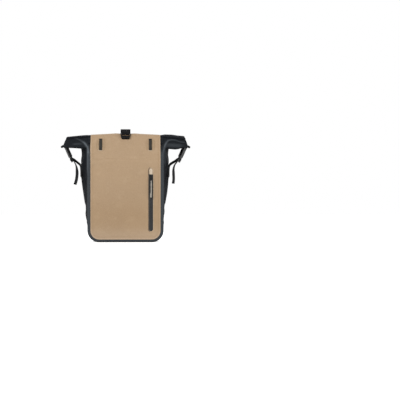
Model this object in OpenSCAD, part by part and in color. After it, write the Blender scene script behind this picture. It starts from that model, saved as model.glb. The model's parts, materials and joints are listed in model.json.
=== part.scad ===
// Roll-top bicycle pannier: a welded fabric box that hangs from a rack by two latching hooks.
// Millimetres. +X is to the right as seen from the front, +Y points to the rack, +Z is up.
// The origin is the middle of the base, at the middle of the bag's depth.

/* [Bag] */
// Width of the body across the front, fold to fold
body_w = 231; // [190:1:280]
// Depth of the body, front to back
body_d = 140; // [115:1:170]
// Height from the base to the top of the closed roll, at the middle
body_h = 329; // [275:1:400]
// Outer radius of the two bottom corners
corner_r = 36; // [28:1:45]
// Thickness of the coated fabric
fabric_t = 1.4; // [1:0.1:1.8]
// Black margin left showing round the front panel
margin = 8.5; // [5:0.5:10]
// Width of the welding flange that lies behind the front and back panels
flange_w = 18; // [14:1:22]
// Lean of the upper front, in degrees from upright
lean_a = 30; // [20:1:34]
// How far the side gussets swell out under the wings
swell = 15; // [8:1:20]

/* [Closure] */
// How far the top edge drops from the middle to the wing ends
top_droop = 12; // [6:1:16]
// Thickness of the flattened roll
roll_t = 16; // [13:1:19]
// Width of the flattened roll, measured along the lean
roll_w = 32; // [27:1:36]
// Width of the mouth battens
batten_w = 14; // [10:1:16]
// Thickness of the mouth battens
batten_t = 2; // [1.5:0.1:2.4]
// Width of the centre strap
top_strap_w = 30; // [25:1:34]
// Finger room between the roll and the centre strap
top_strap_rise = 12; // [10:1:16]
// Width of the side strap webbing
web_w = 20; // [17:1:24]
// Thickness of all webbing
web_t = 1.6; // [1.2:0.1:2]
// Slide that frees a side buckle
buckle_travel = 22; // [18:1:24]

/* [Front] */
// Distance of the zip from the middle of the bag
zip_x = 77; // [62:1:84]
// Length of the zip tape
zip_len = 172; // [140:1:200]
// Width of the zip tape
zip_w = 12.6; // [10:0.2:15]
// Height of the bottom of the zip above the base
zip_z = 34; // [28:1:48]
// Distance of each lash loop from the middle of the bag
lash_x = 75.5; // [62:0.5:82]
// Length of a lash loop
lash_len = 40; // [33:1:46]
// Width of a lash loop
lash_w = 9; // [7:0.5:11]

/* [Rack fittings] */
// Radius of the rack tube that the hooks hold
tube_r = 8; // [6.5:0.1:9.5]
// Thickness of the rubber liner in each hook
liner_t = 1.5; // [1:0.1:2]
// Distance of each hook from the middle of the bag
hook_x = 62; // [50:1:75]
// Width of a hook
hook_w = 28; // [24:1:34]
// Distance of the rack tube below the top of the bag
tube_drop = 64; // [60:1:72]
// Radius of the pin under each hook
pin_r = 1.6; // [1.3:0.1:2]
// Height of the lower hook above the base
lower_z = 104; // [90:1:120]
// Length of the lower track
track_len = 130; // [110:1:150]
// Shank radius of the M5 rail screws
rail_screw_r = 2.5; // [2:0.1:3]
// Radial clearance of running fits
run_c = 0.06; // [0.03:0.01:0.1]

/* [Hidden] */
$fn = 48;

sand = [0.71, 0.60, 0.47];
black = [0.10, 0.11, 0.12];
graphite = [0.22, 0.24, 0.26];
steel = [0.75, 0.75, 0.77];

LEFT = -1;
RIGHT = 1;
SIDES = [LEFT, RIGHT];
touch = 0.1;              // gap between soft pieces that lie on each other
half_w = body_w / 2;
half_d = body_d / 2;
wing_half = half_w + half_d - 8;      // half the width of the flattened mouth
wing_bulge = 9.5;                     // the wings are wider under the roll than at its top
front_half = half_w - margin;
sheet_t = 2 * fabric_t / cos(lean_a) + 0.4;   // the two flattened layers, measured along Y

// heights of the shape's changes, all hung from the top of the roll
lean_z = body_h - 94;         // the front starts to lean
lean_full_z = body_h - 67;    // the lean is complete
roof_z = body_h - 53;         // the upright back wall ends
wing_z = body_h - 50;         // the side gussets start to flare into the wings
wing_full_z = body_h - 39;    // the wings have their full reach
seal_z = body_h - 37;         // front and back layers meet
swell_z = corner_r * 2;       // the gussets start to swell
swell_full_z = body_h - 72;   // the swell is complete
rail_h = 30;
tube_z = body_h - tube_drop;  // axis of the rack tube
rail_z = tube_z - 4;          // middle of the rail that carries the hooks

// ---------- helpers ----------

function mix(a, b, t) = a + (b - a) * t;
function smooth(t) = let (c = min(1, max(0, t))) c * c * (3 - 2 * c);
function unit(v) = v / norm(v);

// Y of the outer black fabric at the front, and of the inner face of the back layer
function front_y(z) =
    z < lean_z ? -half_d
    : z < lean_full_z ? -half_d + tan(lean_a) * pow(z - lean_z, 2) / (2 * (lean_full_z - lean_z))
    : -half_d + tan(lean_a) * (z - (lean_z + lean_full_z) / 2);
function back_y(z) =
    z < roof_z ? half_d
    : z < seal_z ? mix(half_d, front_y(seal_z) + sheet_t, (z - roof_z) / (seal_z - roof_z))
    : front_y(z) + sheet_t;
// how far a side gusset stands out past the body's width
function swelling(z) = swell * sin(90 * max(0, min(1, (z - swell_z) / (swell_full_z - swell_z))));
function reach(z) = let (tip = wing_half - half_w)
    z < wing_z ? swelling(z)
    : z < wing_full_z ? mix(swell, tip + wing_bulge, smooth((z - wing_z) / (wing_full_z - wing_z)))
    : tip + wing_bulge * (1 - pow((z - wing_full_z) / (body_h - wing_full_z), 2));
// the top edge is an arch
function top_z(x) = body_h - top_droop * pow(x / wing_half, 2);
function arched(z, x) = z < roof_z ? z : roof_z + (z - roof_z) * (top_z(x) - roof_z) / (body_h - roof_z);
// a point (x, y) drawn at height z, moved to its place under the arch and kept on the leaning plane
function on_arch(p, z0) = let (z = arched(z0, p[0])) [p[0], p[1] + front_y(z) - front_y(z0), z];
lean_rows = [for (t = [0:3]) mix(lean_z, lean_full_z, t / 3)];

// closed solid through loops of points; each loop has an even number of points, and the ends are capped in strips
module loft(loops) {
    n = len(loops[0]);
    m = len(loops);
    sides = [for (i = [0:m - 2], j = [0:n - 1]) let (a = i * n + j, b = i * n + (j + 1) % n)
        each [[a, b, b + n], [a, b + n, a + n]]];
    start = [for (j = [0:n / 2 - 2]) each [[j, n - 1 - j, n - 2 - j], [j, n - 2 - j, j + 1]]];
    end = [for (f = start) [for (k = [2:-1:0]) f[k] + (m - 1) * n]];
    polyhedron([for (l = loops) each l], concat(sides, start, end));
}

// outline with a flat top and rounded bottom corners, in (x, z)
function pocket_outline(half, top, r, bottom = 0, steps = 9) = concat(
    [[half, top]],
    [for (i = [0:steps]) let (a = -90 * i / steps) [half - r + r * cos(a), bottom + r + r * sin(a)]],
    [for (i = [0:steps]) let (a = -90 - 90 * i / steps) [-half + r + r * cos(a), bottom + r + r * sin(a)]],
    [[-half, top]]);

// 2D drawn in (x, z), standing between two depths
module across_depth(y0, y1) {
    translate([0, y1, 0]) rotate([90, 0, 0]) linear_extrude(y1 - y0) children();
}

// 2D drawn in (y, z), as wide as width along X
module across_width(width) {
    rotate([90, 0, 90]) linear_extrude(width, center = true) children();
}

// left-hand normal of a polyline at point i
function path_normal(p, i) =
    let (d = unit(p[min(i + 1, len(p) - 1)] - p[max(i - 1, 0)])) [-d[1], d[0]];

// 2D band of thickness t whose middle follows a path
module band(path, t) {
    polygon(concat([for (i = [0:len(path) - 1]) path[i] + path_normal(path, i) * t / 2],
        [for (i = [len(path) - 1:-1:0]) path[i] - path_normal(path, i) * t / 2]));
}

module bore(r, length) {
    cylinder(r = r, h = length, center = true);
}

module along_x() {
    rotate([0, 90, 0]) children();
}

module along_y() {
    rotate([90, 0, 0]) children();
}

// capsule-shaped outline, upright
module upright_slot(w, h) {
    translate([0, w / 2]) circle(d = w);
    translate([0, h - w / 2]) circle(d = w);
    translate([-w / 2, w / 2]) square([w, h - w]);
}

// puts a child drawn flat in (x, z) with its face to -Y onto the leaning front at height z
module on_front(x, z) {
    translate([x, front_y(z) - panel_t, z]) rotate([-lean_a, 0, 0]) children();
}

// ---------- body ----------

panel_t = fabric_t;

// rows of the front panel: its rounded bottom, its upright part, its lean, and its top
panel_bottom = margin;
panel_corner = corner_r - margin;
corner_steps = 7;
panel_rows = concat(
    [for (i = [0:corner_steps]) let (a = 90 * i / corner_steps)
        [half_w - corner_r + panel_corner * sin(a), panel_bottom + panel_corner * (1 - cos(a))]],
    [for (z = concat(lean_rows, [roof_z, wing_z, wing_full_z, seal_z, body_h - 12, body_h - 1])) [front_half, z]]);
columns = [for (i = [-6:6]) i / 6];

module front_panel() {
    color(sand) difference() {
        loft([for (row = panel_rows) let (y = front_y(row[1])) concat(
            [for (s = columns) on_arch([s * row[0], y - panel_t], row[1])],
            [for (i = [len(columns) - 1:-1:0]) on_arch([columns[i] * row[0], y - touch], row[1])])]);
        translate([zip_x - zip_slit / 2, -half_d - 5, zip_z + zip_foot]) cube([zip_slit, 10, slit_len]);
    }
}

// the bottom and the two lower corners: a shallow tray with welding flanges front and back
module base_gusset() {
    color(black) difference() {
        across_depth(-half_d, half_d) polygon(pocket_outline(half_w, swell_z, corner_r));
        across_depth(-half_d + fabric_t, half_d - fabric_t)
            polygon(pocket_outline(half_w - fabric_t, swell_z + 1, corner_r - fabric_t, fabric_t));
        across_depth(-half_d - 1, half_d + 1)
            polygon(pocket_outline(half_w - flange_w, swell_z + 1, corner_r - flange_w, flange_w));
    }
}

// one side gusset's outline in plan, at a height: front flange, swollen wall, back flange
wall_v = [-1, -0.8, -0.6, -0.35, 0, 0.35, 0.6, 0.8, 1];
fold_r = 4;
function gusset_plan(z, inset, fold) = let (
    yf = front_y(z) + inset, yb = back_y(z) - inset, mid = (yf + yb) / 2, half = (yb - yf) / 2 - fold)
    concat([[half_w - flange_w, yf], [half_w - fold - inset, yf]],
        [for (v = wall_v) [half_w - inset + reach(z) * (1 - v * v), mid + v * half]],
        [[half_w - fold - inset, yb], [half_w - flange_w, yb]]);

gusset_rows = concat([swell_z + touch], [for (t = [0.2:0.2:0.8]) mix(swell_z, lean_z, t)], lean_rows, [roof_z, wing_z]);

module side_gusset(side) {
    color(black) mirror([side == LEFT ? 1 : 0, 0, 0])
        loft([for (z = gusset_rows) let (out = gusset_plan(z, 0, fold_r), in = gusset_plan(z, fabric_t, fold_r))
            [for (p = concat(out, [for (i = [len(in) - 1:-1:0]) in[i]])) on_arch(p, z)]]);
}

// the gusset's top, pulled out flat into a wing: a plain closed solid, thin at its tip, close to the front
wing_v = [-1, -0.85, -0.6, -0.35, -0.1, 0.1, 0.35, 0.6, 0.85, 1];
wing_rows = [wing_z + touch, mix(wing_z, wing_full_z, 0.35), mix(wing_z, wing_full_z, 0.7), wing_full_z,
    seal_z, mix(seal_z, body_h, 0.33), mix(seal_z, body_h, 0.67), body_h - 1];
function wing_loop(z0) = let (
    share = smooth((z0 - wing_z) / (wing_full_z - wing_z)), to_front = mix(1, 6, share),
    fold = fold_r * (1 - share) + 0.2 * share, yf = front_y(z0) + fold, yb = back_y(z0) - fold,
    flat = concat([[half_w - flange_w, yf - fold], [half_w - fold, yf - fold]],
        [for (v = wing_v) [half_w + reach(z0) * (1 - v * v), yf + (yb - yf) * pow((v + 1) / 2, to_front)]],
        [[half_w - fold, yb + fold], [half_w - flange_w, yb + fold]]))
    [for (p = flat) on_arch(p, z0)];

module wing(side) {
    color(black) mirror([side == LEFT ? 1 : 0, 0, 0]) loft([for (z = wing_rows) wing_loop(z)]);
}

// stiff upright back, welded outside the back flanges
back_panel_half = half_w - 2;
module back_panel() {
    color(black) difference() {
        across_depth(half_d, half_d + fabric_t)
            polygon(pocket_outline(back_panel_half, roof_z, corner_r - 2, 2));
        rail_holes(rail_screw_r + run_c);
        track_holes(track_screw_r + run_c);
    }
}

// fabric that slopes from the back wall up to the roll, then lies behind the front layer
rear_gap = 2 * touch;
rear_path = concat([[half_d + rear_gap, roof_z + rear_gap]],
    [for (z = [seal_z, body_h - 14, body_h - 2]) [back_y(z) + rear_gap, z + rear_gap]]);
module rear_top_panel() {
    n = len(rear_path) - 1;
    upper = [for (i = [0:n]) rear_path[i] - path_normal(rear_path, i) * fabric_t];
    flat = concat(rear_path, [for (i = [n:-1:0]) upper[i]]);
    color(black) loft([for (s = columns) let (x = s * back_panel_half)
        [for (p = flat) on_arch([x, p[0]], p[1])]]);
}

// the rolled mouth: a flattened roll behind the leaning layers, with the batten pocket at its core
lean_up = [sin(lean_a), cos(lean_a)];         // in (y, z), along the lean
lean_in = [cos(lean_a), -sin(lean_a)];        // in (y, z), away from the front
layers_t = (sheet_t + fabric_t / cos(lean_a)) * cos(lean_a) + 3 * touch;
roll_half = wing_half - 5;
roll_mid_z = body_h + 4.5 - roll_w / 2 * cos(lean_a);
function roll_mid(x) = let (z = arched(roll_mid_z, x)) [front_y(z), z] + lean_in * (layers_t + roll_t / 2);
roll_section = [for (i = [0:11]) let (a = 30 * i + 15)
    [roll_t / 2 * cos(a), sign(sin(a)) * (roll_w - roll_t) / 2 + roll_t / 2 * sin(a)]];
function leaning(p, x) = let (q = roll_mid(x) + lean_in * p[0] + lean_up * p[1]) [x, q[0], q[1]];

module roll() {
    core_t = 2 * batten_t + 0.7;
    core_w = batten_w + 0.6;
    core = [[-core_t, -core_w], [-core_t, core_w], [core_t, core_w], [core_t, -core_w]] / 2;
    color(black) difference() {
        roll_body(roll_half, roll_section);
        roll_body(roll_half - 6, core);
    }
}
module roll_body(half, section) {
    loft([for (s = columns) [for (p = section) leaning(p, s * half)]]);
}

module mouth_battens() {
    color(graphite) for (k = SIDES) {
        c = k * (batten_t / 2 + 0.1);
        roll_body(roll_half - 8, [[c - batten_t / 2, -batten_w / 2], [c - batten_t / 2, batten_w / 2],
            [c + batten_t / 2, batten_w / 2], [c + batten_t / 2, -batten_w / 2]]);
    }
}

// plastic sheet inside the back that carries the fittings
board_t = 2.5;
board_y = half_d - fabric_t - touch - board_t;
module back_board() {
    color(graphite) difference() {
        across_depth(board_y, board_y + board_t)
            polygon(pocket_outline(half_w - flange_w + 8, roof_z - 6, corner_r - 10, 12));
        rail_holes(rail_screw_r + run_c);
        track_holes(track_screw_r + run_c);
    }
}

// ---------- front pocket and zip ----------

zip_slit = 4;
zip_foot = 25;            // blank tape below the coil's bottom stop
slit_len = zip_len - zip_foot - zip_w / 2;
tape_t = 1.2;
pocket_w = 60;
module front_pocket() {
    pocket_h = zip_len + 8;
    pocket_t = 5;
    color(graphite) translate([zip_x - pocket_w + 14, -half_d + touch, zip_z - 4]) difference() {
        cube([pocket_w, pocket_t, pocket_h]);
        translate([1, 1, 1]) cube([pocket_w - 2, pocket_t - 2, pocket_h - 2]);
        translate([pocket_w - 14 - zip_slit / 2, -1, zip_foot + 4]) cube([zip_slit, 3, slit_len]);
    }
}

zip_face_y = -half_d - panel_t;
// two welded lips that meet at the middle of the zip
module zip_tape() {
    color(graphite) difference() {
        translate([zip_x, 0, zip_z]) across_depth(zip_face_y - tape_t, zip_face_y) upright_slot(zip_w, zip_len);
        translate([zip_x - 0.2, zip_face_y - tape_t - 1, zip_z + zip_foot]) cube([0.4, tape_t + 2, slit_len]);
    }
}

tooth_pitch = 4;
module zip_coil() {
    teeth_len = slit_len - 2;
    color(black) translate([zip_x, zip_face_y + 0.3, zip_z + zip_foot + 1]) {
        translate([-0.7, 0, 0]) cube([1.4, 1.1, teeth_len]);
        for (z = [1:tooth_pitch:teeth_len - 2]) translate([-1.6, 0.1, z]) cube([3.2, 0.9, 1.6]);
    }
}

garage_len = 17;
zip_top = zip_z + zip_len;
module zip_garage() {
    color(sand) translate([zip_x, 0, zip_top - 1]) difference() {
        across_depth(zip_face_y - tape_t - 2.6, zip_face_y - touch) translate([0, 1.2])
            upright_slot(zip_w - 2, garage_len);
        translate([-zip_w / 2 + 2.2, zip_face_y - tape_t - 1.4, -0.1])
            cube([zip_w - 4.4, tape_t + 1.2, garage_len - 4]);
    }
}

// slider: a body on the tape and a bridge that the pull hangs from
slider_len = 14;
slider_z = zip_top - slider_len - 1.5;
slider_y = zip_face_y - tape_t - touch;
bridge_r = 1;
bridge_y = slider_y - 4.6;
bridge_z = slider_z + 4;
module zip_slider() {
    color(black) translate([zip_x, 0, 0]) {
        translate([0, 0, slider_z]) across_depth(slider_y - 2.4, slider_y)
            polygon([[-3, 0], [3, 0], [4.4, 5], [4.4, slider_len - 3], [2.6, slider_len], [-2.6, slider_len],
                [-4.4, slider_len - 3], [-4.4, 5]]);
        for (x = [-3.2, 2]) translate([x, bridge_y - bridge_r, bridge_z - bridge_r])
            cube([1.2, slider_y - 2 - bridge_y, 2 * bridge_r]);
        translate([0, bridge_y, bridge_z]) along_x() cylinder(r = bridge_r, h = 5.6, center = true);
    }
}

pull_len = 60;
pull_w = 6.4;
module zip_pull() {
    eye_r = bridge_r + 0.08;
    color(black) translate([zip_x, bridge_y, bridge_z]) difference() {
        union() {
            along_x() cylinder(r = eye_r + 1.1, h = 3.2, center = true);
            translate([-1.6, -1.1, -7]) cube([3.2, 2.2, 6.5]);
            across_depth(-1.25, 1.25) polygon([[-2.4, -5], [2.4, -5], [pull_w / 2, -8], [pull_w / 2, -pull_len + 6],
                [1, -pull_len], [-1, -pull_len], [-pull_w / 2, -pull_len + 6], [-pull_w / 2, -8]]);
        }
        along_x() bore(eye_r, 10);
    }
}

// ---------- lash loops ----------

lash_z = body_h - 33;
patch_t = 1;
patch_w = 29;
module lash_patch(side) {
    color(sand) on_front(side * lash_x, lash_z) across_depth(-patch_t, -touch)
        translate([0, -(lash_len + 8) / 2]) upright_slot(patch_w, lash_len + 8);
}

loop_stand = 2.4;
module lash_loop(side) {
    h = lash_len / 2;
    y = -patch_t - touch - web_t / 2;
    arch = [[y, -h], [y, -h + 4], [y - loop_stand, -h + 10], [y - loop_stand - 0.4, 0], [y - loop_stand, h - 10],
        [y, h - 4], [y, h]];
    color(graphite) on_front(side * lash_x, lash_z) across_width(lash_w) band(arch, web_t);
}

// ---------- centre strap ----------

hook_eye_r = 2.8;
top_pin_r = 1.5;
eye_w = 24;
// the strap's end pins to its ring at the top edge, in front of the leaning panel
ring_z = body_h + 0.5;
ring_y = front_y(ring_z) - panel_t - 5;
ring_drop = 13;
roll_back = roll_mid(0)[0] + roll_t / 2 + 4;
strap_y = half_d + fabric_t + touch + web_t / 2;
strap_top = body_h + top_strap_rise + web_t / 2;
strap_path = [[strap_y, rail_z - rail_h / 2 + 3], [strap_y, roof_z + 0.4], [strap_y - 0.8, roof_z + 2.6],
    [half_d - 1, roof_z + 4.2], [half_d - 12, roof_z + 6.6], [half_d - 42, roof_z + 11.6],
    [half_d - 57, roof_z + 17.6], [roll_back + 7, roof_z + 28],
    [roll_back + 3, body_h - 7], [roll_back - 2, strap_top - 7], [roll_back - 7, strap_top - 1.8],
    [roll_back - 13, strap_top], [ring_y + 6, strap_top - 0.4], [ring_y + 2.4, strap_top - 2.4],
    [ring_y + 0.4, strap_top - 6], [ring_y, ring_z + hook_eye_r + 1]];
module top_strap() {
    color(black) {
        across_width(top_strap_w) band(strap_path, web_t);
        translate([0, ring_y, ring_z]) along_x() difference() {
            union() {
                cylinder(r = hook_eye_r, h = eye_w, center = true);
                translate([-hook_eye_r - 1.4, -web_t / 2, -eye_w / 2]) cube([3, web_t, eye_w]);
            }
            bore(top_pin_r + run_c, top_strap_w);
        }
    }
}

module top_hook_pin() {
    color(steel) translate([0, ring_y, ring_z]) along_x() cylinder(r = top_pin_r, h = eye_w + 7, center = true);
}

// ring that swings on the pin and drops over the catch, lying along the lean
module top_hook() {
    cheek = 3;
    hole = eye_w / 2 + 0.4;
    out = hole + cheek;
    color(black) translate([0, ring_y, ring_z]) rotate([-lean_a, 0, 0]) difference() {
        union() {
            across_depth(-1.7, 1.7) difference() {
                polygon([[-out, 0], [out, 0], [out - 0.6, -6], [out - 1.6, -ring_drop], [out - 4, -ring_drop - 2],
                    [4 - out, -ring_drop - 2], [1.6 - out, -ring_drop], [0.6 - out, -6]]);
                polygon([[-hole, 1], [hole, 1], [hole, -4], [hole - 0.6, -8], [hole - 2.4, 1.6 - ring_drop],
                    [2.4 - hole, 1.6 - ring_drop], [0.6 - hole, -8], [-hole, -4]]);
            }
            for (s = SIDES) translate([s * (out - cheek / 2), 0, 0]) along_x()
                cylinder(r = hook_eye_r, h = cheek, center = true);
        }
        along_x() bore(top_pin_r + run_c, 3 * out);
    }
}

// ledge welded to the front, which stands inside the ring
module top_catch() {
    color(sand) translate([0, ring_y, ring_z]) rotate([-lean_a, 0, 0]) {
        face = 5 * cos(lean_a) + 0.1;
        translate([-eye_w / 2, face - 1.5, -ring_drop - 4]) cube([eye_w, 1.4, 13]);
        translate([-6, -2, -ring_drop + 2.6]) cube([12, face - 0.1, 2.6]);
    }
}

// ---------- side buckles ----------
// A buckle is drawn hanging from its web bar at the origin, thickness along X and width along Y.

buckle_w = web_w + 7;
buckle_t = 8.4;
buckle_a = 24;
bar_r = 1.5;
head_top = 3.7;               // the male head starts this far under the web bar
head_end = 10.5;
prong_len = 21;
female_top = head_end + 0.3;
female_len = 27;
ladder_len = 16;
ladder_top = female_top + female_len;
web_slot = web_w + 1.2;
tab_x = wing_half + 5;
tab_z = body_h - 35.5;
buckle_y = roll_mid(roll_half)[0] + 1;

module buckle_place(side) {
    mirror([side == LEFT ? 1 : 0, 0, 0]) translate([tab_x, buckle_y, tab_z]) rotate([0, buckle_a, 0]) children();
}

// webbing drawn in (x, z) in the plane of a buckle
module side_band(side, path) {
    mirror([side == LEFT ? 1 : 0, 0, 0]) translate([0, buckle_y, 0]) rotate([90, 0, 0])
        linear_extrude(web_w, center = true) band(path, web_t);
}

// from the buckle's own (x, z) to the bag's
function hung(p) = [tab_x + p[0] * cos(buckle_a) + p[1] * sin(buckle_a),
    tab_z - p[0] * sin(buckle_a) + p[1] * cos(buckle_a)];

module buckle_male(side) {
    ear = (buckle_w - web_slot) / 2;
    color(black) buckle_place(side) {
        translate([-buckle_t / 2, -buckle_w / 2, -head_end]) cube([buckle_t, buckle_w, head_end - head_top]);
        for (s = SIDES) translate([-buckle_t / 2, s * (buckle_w - ear) / 2 - ear / 2, -head_top - 1])
            cube([buckle_t, ear, head_top + 3.4]);
        along_y() cylinder(r = bar_r, h = buckle_w - 1, center = true);
        for (s = SIDES) {
            translate([-2, s * (web_w / 2 - 1.7) - 1.7, -head_end - prong_len]) cube([4, 3.4, prong_len + 1]);
            translate([-2, s * (web_w / 2 - 2.5) - 2.4, -head_end - prong_len]) cube([4, 4.8, 6]);
        }
        translate([-1.5, -2.5, -head_end - prong_len + 3]) cube([3, 5, prong_len - 2]);
    }
}

// ladder bars hold the strap; the prongs show through the side windows
module buckle_female(side) {
    cavity_w = web_w + 1;
    color(black) buckle_place(side) difference() {
        union() {
            translate([-buckle_t / 2, -buckle_w / 2, -ladder_top]) cube([buckle_t, buckle_w, female_len]);
            translate([-2.5, -buckle_w / 2, -ladder_top - ladder_len]) cube([5, buckle_w, ladder_len + 0.5]);
        }
        translate([-2.5, -cavity_w / 2, -female_top - prong_len - 3]) cube([5, cavity_w, prong_len + 4]);
        translate([-2.5, -buckle_w, -female_top - prong_len + 1]) cube([5, 2 * buckle_w, 11]);
        for (z = [6.5, 13]) translate([-6, -web_slot / 2, -ladder_top - z]) cube([12, web_slot, 3.6]);
    }
}

// webbing from the roll's end: it folds back as a pull tab and wraps the male half's bar
module wing_tab(side) {
    color(black) side_band(side, concat([[roll_half + 4 * touch, tab_z + 9.6], [roll_half + 4, tab_z + 8.6]],
        [for (p = [[0, 3.2], [5, 1.6], [9.5, -0.6], [11.4, -3.2], [10, -5.4], [7.4, -4], [5, -2.75], [2.6, -2.55],
            [0.8, -2.62], [-0.9, -2.5], [-2.2, -1.5], [-2.7, 0.2]]) hung(p)]));
}

// from the patch on the gusset, up behind the ladder, round its middle bar and down as a loose tail
strap_end_z = body_h - 120;
patch_x = half_w + swelling(strap_end_z + 13);
rest_x = patch_x + 1 + touch + web_t / 2;
end_bar = -ladder_top - ladder_len;
module side_strap(side) {
    tail_x = hung([0, end_bar])[0] - 10;
    tail_z = hung([0, end_bar])[1] - 6;
    color(black) side_band(side, concat(
        [[rest_x, strap_end_z - 10], [rest_x + 0.5, strap_end_z + 10], [rest_x + 1.4, strap_end_z + 20],
            [rest_x + 6, strap_end_z + 28], [rest_x + 14, strap_end_z + 32]],
        [for (p = [[-8, 0.6], [-5.8, 6.6], [-2.6, 11], [1.4, 11.8], [3.2, 10.8], [3.75, 8], [3.2, 5.4], [1.4, 4.6],
            [-2.6, 4.5], [-4.2, 3.2], [-4.7, 1]]) hung([p[0], p[1] + end_bar])],
        [[tail_x + 4.4, tail_z + 4], [tail_x + 0.6, tail_z - 3], [tail_x - 1.6, tail_z - 16], [tail_x - 1.4, tail_z - 36],
            [tail_x + 1, tail_z - 52]]));
}

module strap_patch(side) {
    color(black) mirror([side == LEFT ? 1 : 0, 0, 0]) translate([patch_x + 0.5, buckle_y, strap_end_z])
        cube([1, web_w + 8, 26], center = true);
}

// ---------- rack hooks ----------

rail_t = 5;
rail_len = body_w - 28;
rail_y = half_d + fabric_t + touch;
bore_r = tube_r + liner_t;
leg_t = 12;
flange_t = 4;
hook_foot = bore_r + leg_t;
tube_y = rail_y + rail_t + hook_foot;
rail_screw_x = [for (s = [-1, -0.27, 0.27, 1]) s * (rail_len / 2 - 9)];
hook_screw_r = 2;
hook_screw_dx = hook_w / 2 + 4.5;

module rail_holes(r) {
    for (x = rail_screw_x) translate([x, half_d, rail_z]) along_y() bore(r, 40);
}

module top_rail() {
    channel_w = top_strap_w + 1;
    color(graphite) difference() {
        translate([-rail_len / 2, rail_y, rail_z - rail_h / 2]) cube([rail_len, rail_t, rail_h]);
        translate([-channel_w / 2, rail_y - 1, rail_z - rail_h / 2 + 2.5]) cube([channel_w, 1 + web_t + 0.2, rail_h]);
        rail_holes(rail_screw_r + run_c);
        for (s = SIDES, d = SIDES) translate([s * hook_x + d * hook_screw_dx, rail_y + rail_t, tube_z])
            along_y() bore(hook_screw_r + run_c, 7);
    }
}

module pan_screw(r, length) {
    // head outwards along +Y, underside of the head at the origin
    along_y() translate([0, 0, -2.4]) difference() {
        cylinder(r = 1.9 * r, h = 2.4);
        translate([0, 0, -0.2]) cylinder(r = 0.75 * r, h = 1.6, $fn = 6);
    }
    along_y() cylinder(r = r, h = length);
}

module rail_screws() {
    color(steel) for (x = rail_screw_x) translate([x, rail_y + rail_t, rail_z]) pan_screw(rail_screw_r, 20);
}

module nut(r, flats, h) {
    difference() {
        cylinder(r = flats / 2 / cos(30), h = h, $fn = 6);
        translate([0, 0, -1]) cylinder(r = r + run_c, h = h + 2);
    }
    translate([0, 0, h]) difference() {
        cylinder(r = 2.2 * r, h = 1);
        translate([0, 0, -1]) cylinder(r = r + run_c, h = 3);
    }
}

module rail_nuts() {
    color(steel) for (x = rail_screw_x) translate([x, board_y - 5, rail_z]) rotate([-90, 0, 0]) nut(rail_screw_r, 8, 4);
}

// the hook's parts are drawn round the rack tube's axis at the origin
module hook_place(side) {
    translate([side * hook_x, tube_y, tube_z]) children();
}

latch_slot = 13;
pivot = [-bore_r - 6, -bore_r - 9];
lip_z = -bore_r - 3;
module hook(side) {
    outer = bore_r + 5;
    low = -bore_r - 16;
    color(graphite) hook_place(side) difference() {
        union() {
            across_width(hook_w) polygon([[-hook_foot, low], [-bore_r + 0.2, low], [-bore_r + 0.2, lip_z],
                [outer, lip_z], [outer, 6], [outer - 3, 11], [outer - 8, bore_r + 6], [-bore_r - 2, bore_r + 6],
                [-hook_foot, bore_r + 2]]);
            translate([-hook_screw_dx - 5, -hook_foot, -13]) cube([2 * hook_screw_dx + 10, flange_t, 24]);
        }
        translate([-hook_w, -bore_r + 0.2, low - 1]) cube([2 * hook_w, 2 * bore_r - 0.4, 1 - low]);
        along_x() bore(bore_r, hook_w + 2);
        translate([-latch_slot / 2, -hook_foot - 1, low - 1]) cube([latch_slot, leg_t + 2, lip_z - low + 1]);
        translate([0, pivot[0], pivot[1]]) along_x() bore(pin_r, hook_w + 2);
        for (d = SIDES) translate([d * hook_screw_dx, -hook_foot, 0]) along_y() bore(hook_screw_r + run_c, 20);
    }
}

module hook_liner(side) {
    color(black) hook_place(side) difference() {
        along_x() cylinder(r = bore_r - run_c, h = hook_w - 1, center = true);
        along_x() bore(tube_r, hook_w + 2);
        translate([-hook_w, -bore_r - 1, -bore_r - 2]) cube([2 * hook_w, 2 * bore_r + 2, bore_r]);
    }
}

module hook_screws(side) {
    color(steel) hook_place(side) for (d = SIDES) translate([d * hook_screw_dx, -hook_foot + flange_t, 0])
        pan_screw(hook_screw_r, flange_t + 3);
}

module latch_pin(side) {
    color(steel) hook_place(side) translate([0, pivot[0], pivot[1]]) along_x()
        cylinder(r = pin_r, h = hook_w - 1, center = true);
}

// gate that closes the hook's mouth, with a thumb tab past the outer leg
hub_r = 4.3;
hub_w = 7.6;
module latch(side) {
    gate_top = lip_z - 0.5;
    tab = bore_r + 13;
    color(black) hook_place(side) difference() {
        union() {
            translate([-latch_slot / 2 + 0.4 + hub_w / 2, pivot[0], pivot[1]]) along_x()
                cylinder(r = hub_r, h = hub_w, center = true);
            translate([-latch_slot / 2 + 0.4 + hub_w / 2, 0, 0]) across_width(hub_w)
                polygon([pivot + [1, -3], pivot + [1, 3], [-bore_r + 2, gate_top], [-bore_r + 6, gate_top],
                    [-bore_r + 6, gate_top - 4], [-bore_r, gate_top - 5]]);
            across_width(latch_slot - 0.8) polygon([[-bore_r + 2.4, gate_top], [tab - 3, gate_top],
                [tab, gate_top - 1], [tab - 1, gate_top - 3.6], [-bore_r + 2.4, gate_top - 4.2]]);
        }
        translate([0, pivot[0], pivot[1]]) along_x() bore(pin_r + run_c, hook_w);
    }
}

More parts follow.
